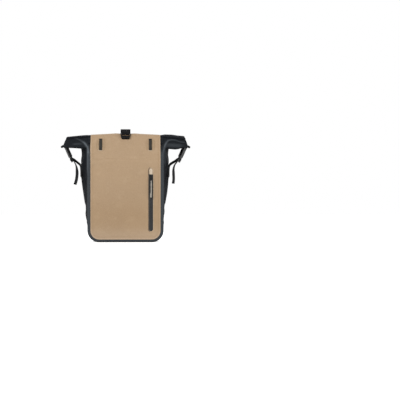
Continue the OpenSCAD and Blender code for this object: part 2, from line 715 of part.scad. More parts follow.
// torsion spring beside the hub: a helix of wire, swept by a loop
wire_r = 0.45;
spring_turns = 3;
module latch_spring(side) {
    coil_r = pin_r + 0.35 + wire_r;
    steps = 12;
    pitch = 2 * wire_r + 0.25;
    first = -latch_slot / 2 + 0.4 + hub_w + 0.2 + wire_r;
    color(steel) hook_place(side) translate([first, pivot[0], pivot[1]])
        loft([for (i = [0:steps * spring_turns]) let (a = 360 * i / steps, out = [0, cos(a), sin(a)])
            [for (j = [0:7]) let (b = 45 * j)
                out * (coil_r + wire_r * cos(b)) + [pitch * i / steps + wire_r * sin(b), 0, 0]]]);
}

// ---------- lower hook ----------

track_t = 6;
track_h = 22;
slot_h = 7;
undercut_h = 13;
undercut_t = 3.2;
track_y = half_d + fabric_t + touch;
track_screw_r = 2;
track_screw_x = [for (s = SIDES) s * (track_len / 2 - 6)];
disc_r = 13;
disc_y = track_y + track_t + 0.3;
slot_len = track_len - 26;

module track_holes(r) {
    for (x = track_screw_x) translate([x, half_d, lower_z]) along_y() bore(r, 40);
}

module lower_track() {
    color(graphite) difference() {
        translate([-track_len / 2, track_y, lower_z - track_h / 2]) cube([track_len, track_t, track_h]);
        translate([-slot_len / 2, track_y - 1, lower_z - slot_h / 2]) cube([slot_len, track_t + 2, slot_h]);
        translate([-slot_len / 2, track_y - 1, lower_z - undercut_h / 2]) cube([slot_len, undercut_t + 1, undercut_h]);
        track_holes(track_screw_r + run_c);
    }
}

module track_screws() {
    color(steel) for (x = track_screw_x) translate([x, track_y + track_t, lower_z]) pan_screw(track_screw_r, 18);
}

module track_nuts() {
    color(steel) for (x = track_screw_x) translate([x, board_y - 4.2, lower_z]) rotate([-90, 0, 0])
        nut(track_screw_r, 7, 3.2);
}

// T-shaped nut that runs in the track, threaded for the hook's screw
module lower_slider() {
    slider_w = 16;
    color(steel) translate([0, 0, lower_z]) difference() {
        union() {
            translate([-slider_w / 2, track_y + 0.3, -undercut_h / 2 + 0.3])
                cube([slider_w, undercut_t - 0.6, undercut_h - 0.6]);
            translate([-slot_h / 2 + 0.3, track_y + 1, -slot_h / 2 + 0.3])
                cube([slot_h - 0.6, track_t - 1, slot_h - 0.6]);
        }
        translate([0, track_y, 0]) along_y() bore(lower_screw_r, 30);
    }
}

lower_screw_r = 2;
arc_r = tube_r + 0.2;
arc_t = 4.5;
arc_y = disc_y + 6 + arc_r;
arc_x = 3;
lower_hook_h = 22;
head_room = arc_r + 1;      // depth of the hole for the screw's head, into the arc's near side
module lower_hook() {
    color(black) translate([0, 0, lower_z]) difference() {
        union() {
            translate([0, disc_y + 2.5, 0]) along_y() cylinder(r = disc_r, h = 5, center = true);
            difference() {
                translate([arc_x, arc_y, 0]) cylinder(r = arc_r + arc_t, h = lower_hook_h, center = true);
                translate([arc_x + 3, disc_y - 20, -lower_hook_h]) cube([60, 80, 2 * lower_hook_h]);
                translate([-60, disc_y - 40, -lower_hook_h]) cube([120, 40.5, 2 * lower_hook_h]);
            }
            translate([arc_x + 2.9, arc_y + arc_r + 0.05, -lower_hook_h / 2]) cube([9, arc_t - 0.5, lower_hook_h]);
        }
        translate([arc_x, arc_y, 0]) bore(arc_r, 2 * lower_hook_h);
        translate([0, disc_y, 0]) along_y() bore(lower_screw_r + run_c, 30);
        translate([0, disc_y + 3 + head_room / 2, 0]) along_y() bore(1.9 * lower_screw_r + 0.3, head_room);
    }
}

module lower_hook_screw() {
    color(steel) translate([0, disc_y + 3, lower_z]) pan_screw(lower_screw_r, 8);
}

front_panel();
base_gusset();
side_gusset(LEFT);  // left_side_gusset
side_gusset(RIGHT);  // right_side_gusset
wing(LEFT);  // left_wing
wing(RIGHT);  // right_wing
back_panel();
rear_top_panel();
roll();
mouth_battens();
back_board();
front_pocket();
zip_tape();
zip_coil();
zip_garage();
zip_slider();
zip_pull();
lash_patch(LEFT);  // left_lash_patch
lash_patch(RIGHT);  // right_lash_patch
lash_loop(LEFT);  // left_lash_loop
lash_loop(RIGHT);  // right_lash_loop
top_strap();
top_hook();
top_hook_pin();
top_catch();
wing_tab(LEFT);  // left_wing_tab
wing_tab(RIGHT);  // right_wing_tab
buckle_male(LEFT);  // left_buckle_male
buckle_male(RIGHT);  // right_buckle_male
buckle_female(LEFT);  // left_buckle_female
buckle_female(RIGHT);  // right_buckle_female
side_strap(LEFT);  // left_side_strap
side_strap(RIGHT);  // right_side_strap
strap_patch(LEFT);  // left_strap_patch
strap_patch(RIGHT);  // right_strap_patch
top_rail();
rail_screws();
rail_nuts();
hook(LEFT);  // left_hook
hook(RIGHT);  // right_hook
hook_liner(LEFT);  // left_hook_liner
hook_liner(RIGHT);  // right_hook_liner
hook_screws(LEFT);  // left_hook_screws
hook_screws(RIGHT);  // right_hook_screws
latch(LEFT);  // left_latch
latch(RIGHT);  // right_latch
latch_pin(LEFT);  // left_latch_pin
latch_pin(RIGHT);  // right_latch_pin
latch_spring(LEFT);  // left_latch_spring
latch_spring(RIGHT);  // right_latch_spring
lower_track();
track_screws();
track_nuts();
lower_slider();
lower_hook();
lower_hook_screw();
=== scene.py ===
import json
import math

import bmesh
import bpy
import numpy as np
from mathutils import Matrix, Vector


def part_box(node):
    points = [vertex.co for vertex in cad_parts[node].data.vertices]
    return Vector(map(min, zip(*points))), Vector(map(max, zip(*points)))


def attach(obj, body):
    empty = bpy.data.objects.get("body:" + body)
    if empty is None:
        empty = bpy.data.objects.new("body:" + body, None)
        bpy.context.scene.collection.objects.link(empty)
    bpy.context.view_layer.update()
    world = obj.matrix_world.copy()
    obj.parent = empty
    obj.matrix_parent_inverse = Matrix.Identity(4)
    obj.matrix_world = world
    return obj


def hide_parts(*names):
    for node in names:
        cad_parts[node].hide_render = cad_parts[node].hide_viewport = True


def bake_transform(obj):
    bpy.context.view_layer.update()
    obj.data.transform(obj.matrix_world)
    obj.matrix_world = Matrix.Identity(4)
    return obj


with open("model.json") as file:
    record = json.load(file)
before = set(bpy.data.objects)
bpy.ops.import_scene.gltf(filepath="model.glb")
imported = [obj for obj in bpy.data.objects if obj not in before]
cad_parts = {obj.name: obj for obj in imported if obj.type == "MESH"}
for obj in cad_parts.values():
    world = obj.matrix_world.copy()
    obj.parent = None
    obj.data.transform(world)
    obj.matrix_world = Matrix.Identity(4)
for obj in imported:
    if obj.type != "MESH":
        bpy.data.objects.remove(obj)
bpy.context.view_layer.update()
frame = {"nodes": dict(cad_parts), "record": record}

# ---------- camera, room and light ----------
# A long lens looks level and square at the bag from five metres, turned a little to its right,
# over a pale floor that the bag stands on.

scene = bpy.context.scene
scene.view_settings.view_transform = "Standard"

FRONT_FACE = -0.0714
EYE = Vector((0.0, -5.0, 0.128))
AIM = Vector((0.2254, FRONT_FACE, 0.128))
FIELD_WIDTH = 1.212

camera_data = bpy.data.cameras.new("camera")
camera_data.sensor_width = 36.0
camera_data.lens = 36.0 * (AIM - EYE).length / FIELD_WIDTH
camera = bpy.data.objects.new("camera", camera_data)
camera.location = EYE
camera.rotation_euler = (AIM - EYE).to_track_quat("-Z", "Y").to_euler()
scene.collection.objects.link(camera)
scene.camera = camera


def new_material(name):
    """Empty node material with its Principled shader: returns the material, its nodes and its links."""
    material = bpy.data.materials.new(name)
    material.use_nodes = True
    nodes = material.node_tree.nodes
    nodes["Principled BSDF"].name = "shader"
    return material, nodes, material.node_tree.links


def mesh_piece(name, points, faces, uvs=None):
    """Object from points in millimetres, faces, and one (u, v) in metres for each face corner."""
    mesh = bpy.data.meshes.new(name)
    mesh.from_pydata(np.asarray(points, float).reshape(-1, 3) * 0.001, [], [list(map(int, f)) for f in faces])
    if uvs is not None:
        layer = mesh.uv_layers.new(name="UVMap")
        layer.data.foreach_set("uv", np.asarray(uvs, np.float32).ravel())
    mesh.polygons.foreach_set("use_smooth", [True] * len(mesh.polygons))
    mesh.validate()
    piece = bpy.data.objects.new(name, mesh)
    scene.collection.objects.link(piece)
    return piece


def math_node(tree, operation, first, second=None, clamp=False):
    """Math node in a tree; each operand is a socket or a number. Returns its output."""
    made = tree.nodes.new("ShaderNodeMath")
    made.operation = operation
    made.use_clamp = clamp
    for k, operand in enumerate((first, second)):
        if operand is None:
            continue
        if isinstance(operand, (int, float)):
            made.inputs[k].default_value = operand
        else:
            tree.links.new(operand, made.inputs[k])
    return made.outputs[0]


def scaled(tree, value, low, high, to_low, to_high):
    """Map Range node, clamped: carries value from one range of numbers to another."""
    made = tree.nodes.new("ShaderNodeMapRange")
    tree.links.new(value, made.inputs["Value"])
    for socket, number in zip(("From Min", "From Max", "To Min", "To Max"), (low, high, to_low, to_high)):
        made.inputs[socket].default_value = number
    return made.outputs[0]


floor_material, nodes, links = new_material("pale_floor")
floor_shader = nodes["shader"]
floor_shader.inputs["Base Color"].default_value = (0.86, 0.86, 0.86, 1)
floor_shader.inputs["Roughness"].default_value = 0.9
floor_shader.inputs["Specular IOR Level"].default_value = 0.1
glow = nodes.new("ShaderNodeEmission")
glow.inputs["Color"].default_value = (1, 1, 1, 1)
glow.inputs["Strength"].default_value = 0.62
rays = nodes.new("ShaderNodeLightPath")
lift = nodes.new("ShaderNodeMixShader")
both = nodes.new("ShaderNodeAddShader")
links.new(floor_shader.outputs[0], both.inputs[0])
links.new(glow.outputs[0], both.inputs[1])
links.new(rays.outputs["Is Camera Ray"], lift.inputs[0])
links.new(floor_shader.outputs[0], lift.inputs[1])
links.new(both.outputs[0], lift.inputs[2])
links.new(lift.outputs[0], nodes["Material Output"].inputs["Surface"])

floor = mesh_piece("floor", [(-9000, -9000, 0), (9000, -9000, 0), (9000, 9000, 0), (-9000, 9000, 0)],
                   [(0, 1, 2, 3)])
floor.data.materials.append(floor_material)

world = bpy.data.worlds.new("studio")
scene.world = world
world.use_nodes = True
tree = world.node_tree
sky = tree.nodes["Background"]
sky.inputs["Color"].default_value = (1, 1, 1, 1)
rays = tree.nodes.new("ShaderNodeLightPath")
seen = math_node(tree, "MAXIMUM", rays.outputs["Is Camera Ray"], rays.outputs["Is Glossy Ray"])
seen = math_node(tree, "MAXIMUM", seen, rays.outputs["Is Transmission Ray"])
tree.links.new(scaled(tree, seen, 0.0, 1.0, 0.52, 1.0), sky.inputs["Strength"])

for name, place, size, power in (
        ("key", (-1.5, -2.3, 2.3), 1.6, 46.0),
        ("fill", (2.2, -2.0, 0.9), 1.8, 17.0),
        ("back", (0.6, 2.2, 1.7), 1.4, 26.0)):
    lamp = bpy.data.lights.new(name, "AREA")
    lamp.size = size
    lamp.energy = power
    lamp_object = bpy.data.objects.new(name, lamp)
    lamp_object.location = place
    lamp_object.rotation_euler = (Vector((0, 0, 0.17)) - Vector(place)).to_track_quat("-Z", "Y").to_euler()
    scene.collection.objects.link(lamp_object)


# ---------- coated fabrics ----------
# The bag is cut from woven polyester with a matt coating on its outer face: sand for the front, black for
# the gussets and back. The weave shows through the coating as a fine grain, and handling leaves it mottled.

def node_group(name, inputs, outputs):
    """Empty shader node group with float or vector sockets, and its two end nodes."""
    group = bpy.data.node_groups.new(name, "ShaderNodeTree")
    for socket, kind, value in inputs:
        made = group.interface.new_socket(socket, in_out="INPUT", socket_type=kind)
        if value is not None:
            made.default_value = value
    for socket in outputs:
        group.interface.new_socket(socket, in_out="OUTPUT", socket_type="NodeSocketFloat")
    return group, group.nodes.new("NodeGroupInput"), group.nodes.new("NodeGroupOutput")


# plain weave: warp and weft are |sin| ridges, and the sign of the product of the sines says which lies on top
weave_group, ends_in, ends_out = node_group("plain_weave", [
    ("Vector", "NodeSocketVector", None), ("Threads per metre", "NodeSocketFloat", 1500.0)
], ["Height", "Over"])
split = weave_group.nodes.new("ShaderNodeSeparateXYZ")
weave_group.links.new(ends_in.outputs["Vector"], split.inputs[0])
waves = []
for axis in (0, 1):
    turn = math_node(weave_group, "MULTIPLY", split.outputs[axis],
                     math_node(weave_group, "MULTIPLY", ends_in.outputs["Threads per metre"], math.pi))
    waves.append(math_node(weave_group, "SINE", turn))
over = math_node(weave_group, "ADD", math_node(weave_group, "MULTIPLY", waves[0], waves[1]), 1.0)
over = math_node(weave_group, "MULTIPLY", over, 0.5, clamp=True)
ridges = [math_node(weave_group, "ABSOLUTE", w) for w in waves]
height = math_node(weave_group, "ADD",
                   math_node(weave_group, "MULTIPLY", ridges[0], over),
                   math_node(weave_group, "MULTIPLY", ridges[1],
                             math_node(weave_group, "SUBTRACT", 1.0, over)))
weave_group.links.new(height, ends_out.inputs["Height"])
weave_group.links.new(over, ends_out.inputs["Over"])

# mottle: broad cloudy patches plus small flecks, both from noise, each about 0.5
mottle_group, ends_in, ends_out = node_group("mottle", [
    ("Vector", "NodeSocketVector", None), ("Patches per metre", "NodeSocketFloat", 14.0),
    ("Flecks per metre", "NodeSocketFloat", 420.0)], ["Patches", "Flecks", "Scuffs"])
for socket, scale_socket, detail, stretch in (("Patches", "Patches per metre", 4.0, 1.0),
                                              ("Flecks", "Flecks per metre", 2.0, 1.0),
                                              ("Scuffs", "Patches per metre", 8.0, 5.0)):
    noise = mottle_group.nodes.new("ShaderNodeTexNoise")
    noise.inputs["Detail"].default_value = detail
    noise.inputs["Roughness"].default_value = 0.62
    mottle_group.links.new(ends_in.outputs["Vector"], noise.inputs["Vector"])
    mottle_group.links.new(math_node(mottle_group, "MULTIPLY", ends_in.outputs[scale_socket], stretch),
                           noise.inputs["Scale"])
    if socket == "Scuffs":
        sharp = math_node(mottle_group, "SUBTRACT", noise.outputs["Fac"], 0.56)
        mottle_group.links.new(math_node(mottle_group, "MULTIPLY", sharp, 9.0, clamp=True),
                               ends_out.inputs[socket])
    else:
        mottle_group.links.new(noise.outputs["Fac"], ends_out.inputs[socket])


def mix_colour(tree, factor, first, second):
    """Mix node for colours; the factor is a socket or a number, each colour a socket or (r, g, b)."""
    made = tree.nodes.new("ShaderNodeMix")
    made.data_type = "RGBA"
    for socket, value in ((made.inputs[0], factor), (made.inputs[6], first), (made.inputs[7], second)):
        if isinstance(value, (int, float)):
            socket.default_value = value
        elif isinstance(value, tuple):
            socket.default_value = (*value, 1)
        else:
            tree.links.new(value, socket)
    return made.outputs[2]


def mottled(tree, vector, patches, flecks=420.0):
    """Mottle group laid on the given coordinates; returns its node."""
    made = tree.nodes.new("ShaderNodeGroup")
    made.node_tree = mottle_group
    made.inputs["Patches per metre"].default_value = patches
    made.inputs["Flecks per metre"].default_value = flecks
    tree.links.new(vector, made.inputs["Vector"])
    return made


def emboss(tree, shader, height, strength, distance):
    """Bump from a height socket into the shader's normal; distance is in metres."""
    made = tree.nodes.new("ShaderNodeBump")
    made.inputs["Strength"].default_value = strength
    made.inputs["Distance"].default_value = distance
    tree.links.new(height, made.inputs["Height"])
    tree.links.new(made.outputs[0], shader.inputs["Normal"])


def coat(tree, shader, base, cloudy, rough, specular):
    """Base colour, roughness that varies with the cloudy patches, and specular level, set on the shader."""
    tree.links.new(base, shader.inputs["Base Color"])
    tree.links.new(scaled(tree, cloudy.outputs["Patches"], 0.3, 0.7, *rough), shader.inputs["Roughness"])
    shader.inputs["Specular IOR Level"].default_value = specular


def fabric(name, colour, dark, worn, threads=1500.0, rough=(0.62, 0.8), weave=0.25, patches=14.0,
           specular=0.4, sheen=0.12, edge_line=False, painted_light_and_wear_colour=None):
    """Coated fabric on the piece's UV map: mottled colour, weave and flecks in the bump, worn scuffs, and painted
    shade and highlights laid on by the piece's attributes.
    """
    material, nodes, links = new_material(name)
    tree = material.node_tree
    shader = nodes["shader"]
    uv = nodes.new("ShaderNodeUVMap")
    uv.uv_map = "UVMap"
    place = nodes.new("ShaderNodeTexCoord")
    woven = nodes.new("ShaderNodeGroup")
    woven.node_tree = weave_group
    woven.inputs["Threads per metre"].default_value = threads
    links.new(uv.outputs[0], woven.inputs["Vector"])
    cloudy = mottled(tree, place.outputs["Object"], patches)
    patch = scaled(tree, cloudy.outputs["Patches"], 0.32, 0.68, 0.0, 1.0)
    base = mix_colour(tree, patch, dark, colour)
    base = mix_colour(tree, scaled(tree, cloudy.outputs["Flecks"], 0.35, 0.7, 0.0, 0.35), base, worn)
    base = mix_colour(tree, scaled(tree, woven.outputs["Over"], 0.0, 1.0, 0.0, 0.16), base, dark)
    base = mix_colour(tree, scaled(tree, cloudy.outputs["Scuffs"], 0.0, 1.0, 0.0, 0.22), base, worn)
    relief = math_node(tree, "ADD", math_node(tree, "MULTIPLY", woven.outputs["Height"], weave),
                       math_node(tree, "MULTIPLY", cloudy.outputs["Flecks"], 0.5))
    if edge_line:
        # welded rim: `rim` holds each point's distance from the panel's edge, in millimetres. The groove about 6.5
        # mm in is painted darker, a painted shade, and the outer 1.6 mm, the lip, is painted paler with the worn
        # colour, a painted highlight
        rim = nodes.new("ShaderNodeAttribute")
        rim.attribute_name = "rim"
        groove = math_node(tree, "ABSOLUTE", math_node(tree, "SUBTRACT", rim.outputs["Fac"], 6.5))
        groove = scaled(tree, groove, 0.3, 1.3, 1.0, 0.0)
        lip = scaled(tree, rim.outputs["Fac"], 0.0, 1.6, 1.0, 0.0)
        base = mix_colour(tree, math_node(tree, "MULTIPLY", groove, 0.32), base, dark)
        base = mix_colour(tree, math_node(tree, "MULTIPLY", lip, 0.5), base, worn)
        relief = math_node(tree, "SUBTRACT", relief, math_node(tree, "MULTIPLY", groove, 2.2))
    if painted_light_and_wear_colour:
        # the `shine` attribute mixes the colour towards the colour given after it: painted highlights along folds
        # and round the welded margin, painted shade on some pieces, and pale weld seams; from 0 to 1, and from 1
        # to 2 towards a brighter painted highlight
        shine = nodes.new("ShaderNodeAttribute")
        shine.attribute_name = "shine"
        broken = math_node(tree, "MULTIPLY", shine.outputs["Fac"],
                           scaled(tree, cloudy.outputs["Flecks"], 0.2, 0.7, 0.7, 1.15), clamp=True)
        base = mix_colour(tree, broken, base, painted_light_and_wear_colour)
        base = mix_colour(tree, scaled(tree, shine.outputs["Fac"], 1.0, 2.0, 0.0, 1.0), base,
                          tuple(2.3 * c for c in painted_light_and_wear_colour))
    coat(tree, shader, base, cloudy, rough, specular)
    shader.inputs["Sheen Weight"].default_value = sheen
    shader.inputs["Sheen Roughness"].default_value = 0.5
    emboss(tree, shader, relief, 0.45, 0.00022)
    return material


sand_fabric = fabric("sand_fabric", (0.424, 0.284, 0.162), (0.384, 0.253, 0.142), (0.53, 0.385, 0.245),
                     patches=9.0, edge_line=True, painted_light_and_wear_colour=(0.60, 0.465, 0.34))
black_fabric = fabric("black_fabric", (0.0080, 0.0090, 0.0115), (0.0046, 0.0052, 0.0068),
                      (0.020, 0.0225, 0.028), rough=(0.58, 0.74), specular=0.05, sheen=0.0,
                      painted_light_and_wear_colour=(0.062, 0.070, 0.078))


# ---------- shape of the body ----------
# All the body's panels hang on one shape: an upright box up to the bend, a front that leans back 30 degrees,
# a roof that rises to the mouth, and two wings, the ends of the flattened mouth.

gusset_high = [c * 1000 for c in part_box("base_gusset")[1]]
HALF_W = float(gusset_high[0])
HALF_D = float(gusset_high[1])
TOP = 329.0
CORNER = 36.0
MARGIN = 9.6
FLANGE = 18.0
LEAN = math.radians(30)
BEND = (TOP - 94, TOP - 67)
ROOF = TOP - 53
FLARE = (TOP - 43.5, TOP - 39)
SEAL = TOP - 37
LAYERS = 3.63
MOUTH_HALF = HALF_W + HALF_D - 8
BULGE = {-1: 20.5, 1: 17.0}
TIP = MOUTH_HALF - HALF_W
TIP_BULGE = 11.0
DROOP = 12.0


def ease(t):
    """Smooth step: 3 t^2 - 2 t^3 between 0 and 1, flat outside."""
    t = np.clip(t, 0, 1)
    return t * t * (3 - 2 * t)


def hump(x, centre, width, power=2):
    """Bell of height 1 round centre: exp(-((x - centre) / width)^power)."""
    return np.exp(-((x - centre) / width) ** power)


def squared(wave, power):
    """Sine or cosine flattened towards a square wave: its sign times |wave|^power."""
    return np.sign(wave) * np.abs(wave) ** power


def front_depth(z):
    """Y of the black front layer at height z: upright, a parabola through the bend, then a straight lean."""
    z = np.asarray(z, float)
    slope = math.tan(LEAN)
    bent = -HALF_D + slope * (z - BEND[0]) ** 2 / (2 * (BEND[1] - BEND[0]))
    straight = -HALF_D + slope * (z - (BEND[0] + BEND[1]) / 2)
    return np.where(z < BEND[0], -HALF_D, np.where(z < BEND[1], bent, straight))


def back_depth(z):
    """Y of the back layer: upright to the roof, then sloping to meet the front layer at the seal."""
    z = np.asarray(z, float)
    at_seal = front_depth(SEAL) + LAYERS
    sloping = HALF_D + (at_seal - HALF_D) * (z - ROOF) / (SEAL - ROOF)
    return np.where(z < ROOF, HALF_D, np.where(z < SEAL, sloping, front_depth(z) + LAYERS))


def arched(x, y, z):
    """Moves points drawn under a level top edge to under the arch, a parabola that drops towards the wings,
    and keeps them on the leaning plane."""
    top = TOP - DROOP * (x / MOUTH_HALF) ** 2
    low = np.where(z < ROOF, z, ROOF + (z - ROOF) * (top - ROOF) / (TOP - ROOF))
    return np.stack([x, y + front_depth(low) - front_depth(z), low], axis=-1)


def surface(name, points, material, body="bag", wall=0.0, wrap=(False, False), rim=None,
            shine=None):
    """Grid of points (rows, columns, 3) in millimetres made into quads. The UV map holds the arc lengths along
    columns and rows, in metres. `wall` gives the cloth its thickness, laid inwards."""
    points = np.asarray(points, float)
    rows, columns = points.shape[:2]
    i = np.arange(rows if wrap[0] else rows - 1)
    j = np.arange(columns if wrap[1] else columns - 1)
    i, j = np.meshgrid(i, j, indexing="ij")
    corners = [(i, j), (i, j + 1), (i + 1, j + 1), (i + 1, j)]
    faces = np.stack([(a % rows) * columns + b % columns for a, b in corners], axis=-1).reshape(-1, 4)
    across = np.linalg.norm(np.diff(points, axis=1, append=points[:, :1]), axis=2).mean(axis=0)
    along = np.linalg.norm(np.diff(points, axis=0, append=points[:1]), axis=2).mean(axis=1)
    u = np.concatenate([[0], np.cumsum(across)]) * 0.001
    v = np.concatenate([[0], np.cumsum(along)]) * 0.001
    uvs = np.stack([np.stack([u[b], v[a]], axis=-1) for a, b in corners], axis=2)
    piece = mesh_piece(name, points, faces, uvs.reshape(-1, 2))
    for label, values in (("rim", rim), ("shine", shine)):
        if values is not None:
            values = np.broadcast_to(values, points.shape[:2]).astype(np.float32)
            piece.data.attributes.new(label, "FLOAT", "POINT").data.foreach_set("value", values.ravel())
    piece.data.materials.append(material)
    if wall:
        skin = piece.modifiers.new("wall", "SOLIDIFY")
        skin.thickness = wall * 0.001
        skin.offset = -1
        skin.use_even_offset = False
    if body:
        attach(piece, body)
    return piece


# ---------- roll ----------
# The mouth is rolled backwards round two flat battens: a flattened roll that lies behind the leaning layers.
# The outer turn belongs to the front panel and to the wings; inside is a spiral of doubled cloth.

ROLL_T, ROLL_W = 16.0, 32.0
ROLL_HALF = MOUTH_HALF - 5
ROLL_FOOT = TOP + 4.5 - ROLL_W / 2 * math.cos(LEAN)
BEHIND = (LAYERS + 1.4 / math.cos(LEAN)) * math.cos(LEAN) + 0.3 + ROLL_T / 2


def leaning(x, into, up):
    """Points given from the roll's axis: `into` away from the front, `up` along the lean."""
    foot = arched(x, front_depth(ROLL_FOOT) + 0 * x, ROLL_FOOT + 0 * x)
    c, s = math.cos(LEAN), math.sin(LEAN)
    return np.stack([foot[..., 0] + 0 * into, foot[..., 1] + (BEHIND + into) * c + up * s,
                     foot[..., 2] - (BEHIND + into) * s + up * c], axis=-1)


def ripple(x, phase, size):
    """Slow unevenness along the roll: three sines of unrelated lengths."""
    return size * (0.5 * np.sin(x / 17.0 + phase) + 0.3 * np.sin(x / 9.3 + 2.1 * phase)
                   + 0.2 * np.sin(x / 5.1 - phase))


turns = np.linspace(0.0, 2.35, 96)
swell_out = 2.6 + (ROLL_T / 2 - 1.9 - 2.6) * turns / turns[-1]
angle = 2 * np.pi * turns + 0.6
spiral_in = swell_out * np.cos(angle)
spiral_up = swell_out * np.sin(angle) + (ROLL_W - ROLL_T) / 2 * np.tanh(3 * np.sin(angle))
along_x = np.linspace(-ROLL_HALF, ROLL_HALF, 73)[:, None]
core = leaning(along_x + 0 * spiral_in, spiral_in + ripple(along_x, 1.0, 0.35),
               spiral_up + ripple(along_x, 2.0, 0.35))
roll_core = surface("roll_core", core, black_fabric, wall=2.1)
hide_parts("roll")


def round_the_roll(t, ahead, proud):
    """Outer turn of cloth in (into, up): t from 0 on the leaning face, `ahead` in front of the layers, over the
    top (1), round behind (2), down the back (3) and under the roll (4). `proud` is its height off the roll."""
    r = ROLL_T / 2 + proud
    h = (ROLL_W - ROLL_T) / 2
    q = [np.clip(t - k, 0, 1.2) * np.pi / 2 for k in range(5)]
    into = np.select([t <= 1, t <= 2, t <= 3],
                     [-(BEHIND + ahead) * np.cos(q[0]), r * np.sin(q[1]), r + 0 * t],
                     r * np.cos(q[3]))
    up = np.select([t <= 1, t <= 2, t <= 3],
                   [h / 2 + (r + h / 2) * np.sin(q[0]), h + r * np.cos(q[1]), h - 2 * h * (t - 2)],
                   -h - r * np.sin(q[3]))
    return into, up


# ---------- front panel ----------
# One piece of sand fabric, welded to the gusset round its sides and base. It bends back above the load, and
# runs on over the top as the roll's outer turn.

PANEL_T = 1.3
panel_half = HALF_W - MARGIN
rows_up = np.concatenate([
    MARGIN + (CORNER - MARGIN) * (1 - np.cos(np.linspace(0, np.pi / 2, 14))),
    np.linspace(CORNER, BEND[0], 60)[1:], np.linspace(BEND[0], BEND[1], 28)[1:],
    np.linspace(BEND[1], ROLL_FOOT + 3, 30)[1:]])
# the foot of the panel reaches this much further down than its margin
LOW_SHIFT = 1.1
below_corner = np.maximum(CORNER - rows_up, 0)
half_at = np.where(rows_up < CORNER,
                   HALF_W - CORNER + np.sqrt(np.clip((CORNER - MARGIN) ** 2 - below_corner ** 2, 0, None)),
                   panel_half)
share = np.sin(np.linspace(-np.pi / 2, np.pi / 2, 81)) * 0.35 + np.linspace(-1, 1, 81) * 0.65
rows_up = rows_up - LOW_SHIFT * (1 - ease((rows_up - MARGIN) / 60))
x = share[None, :] * half_at[:, None]
z = rows_up[:, None] + 0 * x
# the left edge bows out a little below the roll
x = x - 1.2 * np.clip(-share[None, :], 0, 1) ** 8 * hump(z, 284, 22)


def line_ridge(x, z, start, end, width, height):
    """Soft crease along a line: height * exp(-(distance / width)^2)."""
    a, b = np.array(start, float), np.array(end, float)
    d = b - a
    t = np.clip(((x - a[0]) * d[0] + (z - a[1]) * d[1]) / (d @ d), 0, 1)
    gap = np.hypot(x - a[0] - t * d[0], z - a[1] - t * d[1])
    return height * np.exp(-(gap / width) ** 2)


belly = (6.0 * np.clip(1 - ((x + 18) / 84) ** 2, 0, 1) ** 2
         * np.sin(np.pi * np.clip((z - 14) / 222, 0, 1)) ** 0.8)
folds = 0 * x
for start, end, width, height in (
        ((-106, 249), (-40, 251), 2.6, -1.7), ((-40, 251), (60, 249), 3, -1.0),
        ((44, 266), (66, 258), 3.2, -1.6), ((66, 258), (106, 264), 3.2, -1.8),
        ((60, 249), (106, 248), 3, -1.5), ((-104, 264), (-72, 257), 3.4, -1.5),
        ((-98, 238), (-40, 243), 8, 0.9), ((-30, 262), (50, 266), 9, 0.7),
        ((-60, 60), (-92, 24), 9, 0.9), ((-96, 120), (-70, 190), 12, 0.7),
        ((20, 30), (50, 60), 10, 0.7), ((-52, 318), (-40, 284), 5, 0.7),
        ((38, 320), (30, 290), 5, 0.6), ((-14, 296), (12, 298), 8, 0.6)):
    folds = folds + line_ridge(x, z, start, end, width, height)
flat_edge = ease((half_at[:, None] - np.abs(x)) / 9)
proud = np.maximum(belly + folds * flat_edge, -1.1)
sheet = arched(x, front_depth(z) - 0.15 - proud - PANEL_T, z)

over_t = np.linspace(0.03, 4.5, 60)[:, None]
wrap_x = (share * panel_half)[None, :] + 0 * over_t
into, up = round_the_roll(over_t + 0 * wrap_x, 1.26, 2.3)
loose = np.clip(over_t - 0.8, 0, 1)
wrapped = leaning(wrap_x, into + 0.5 * np.sin(wrap_x / 13 + 1.6 * over_t) * loose,
                  up + ripple(wrap_x + 12 * over_t, 0.4, 1.0) * loose
                  + 2.6 * hump(wrap_x, -3, 46, 4) * (1 - hump(wrap_x, 0, 22, 6)) * ease((over_t - 0.3) / 0.7))
front_points = np.concatenate([sheet, wrapped], axis=0)
edge_side = np.abs(np.abs(front_points[..., 0]) - panel_half)
edge_low = np.where(z < CORNER, CORNER - MARGIN - np.hypot(np.clip(np.abs(x) - (HALF_W - CORNER), 0, None),
                                                          CORNER - z), z - MARGIN)
edge_low = np.concatenate([edge_low, wrapped[..., 2]], axis=0)
rim = np.minimum(np.maximum(edge_side, 0), np.maximum(edge_low, 0))
front_z = front_points[..., 2]
# painted light on the front: paler along the bottom and within about 5 mm of the welded edge, a painted highlight;
# a darker band a few millimetres further in, painted shade; and darker round 84 mm up, painted shade on the
# belly's lower half
front_shine = (0.30 * (1 - ease((front_z - 14) / 40)) + 0.30 * (1 - ease(rim / 5))
               - 0.12 * ease((12 - rim) / 9) * ease(rim / 4)
               + 0.10 * (1 - hump(front_z, 84, 40)))
front_shine = np.clip(front_shine, 0, 1)
front_cloth = surface("front_cloth", front_points, sand_fabric, wall=PANEL_T, rim=rim,
                      shine=front_shine)
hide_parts("front_panel")


# ---------- gusset and wings ----------
# One strip of black fabric goes from wing tip to wing tip, down one side, under the base and up the other.
# It is welded inside the front panel by a flange, and its two upper ends are pulled out flat into wings.

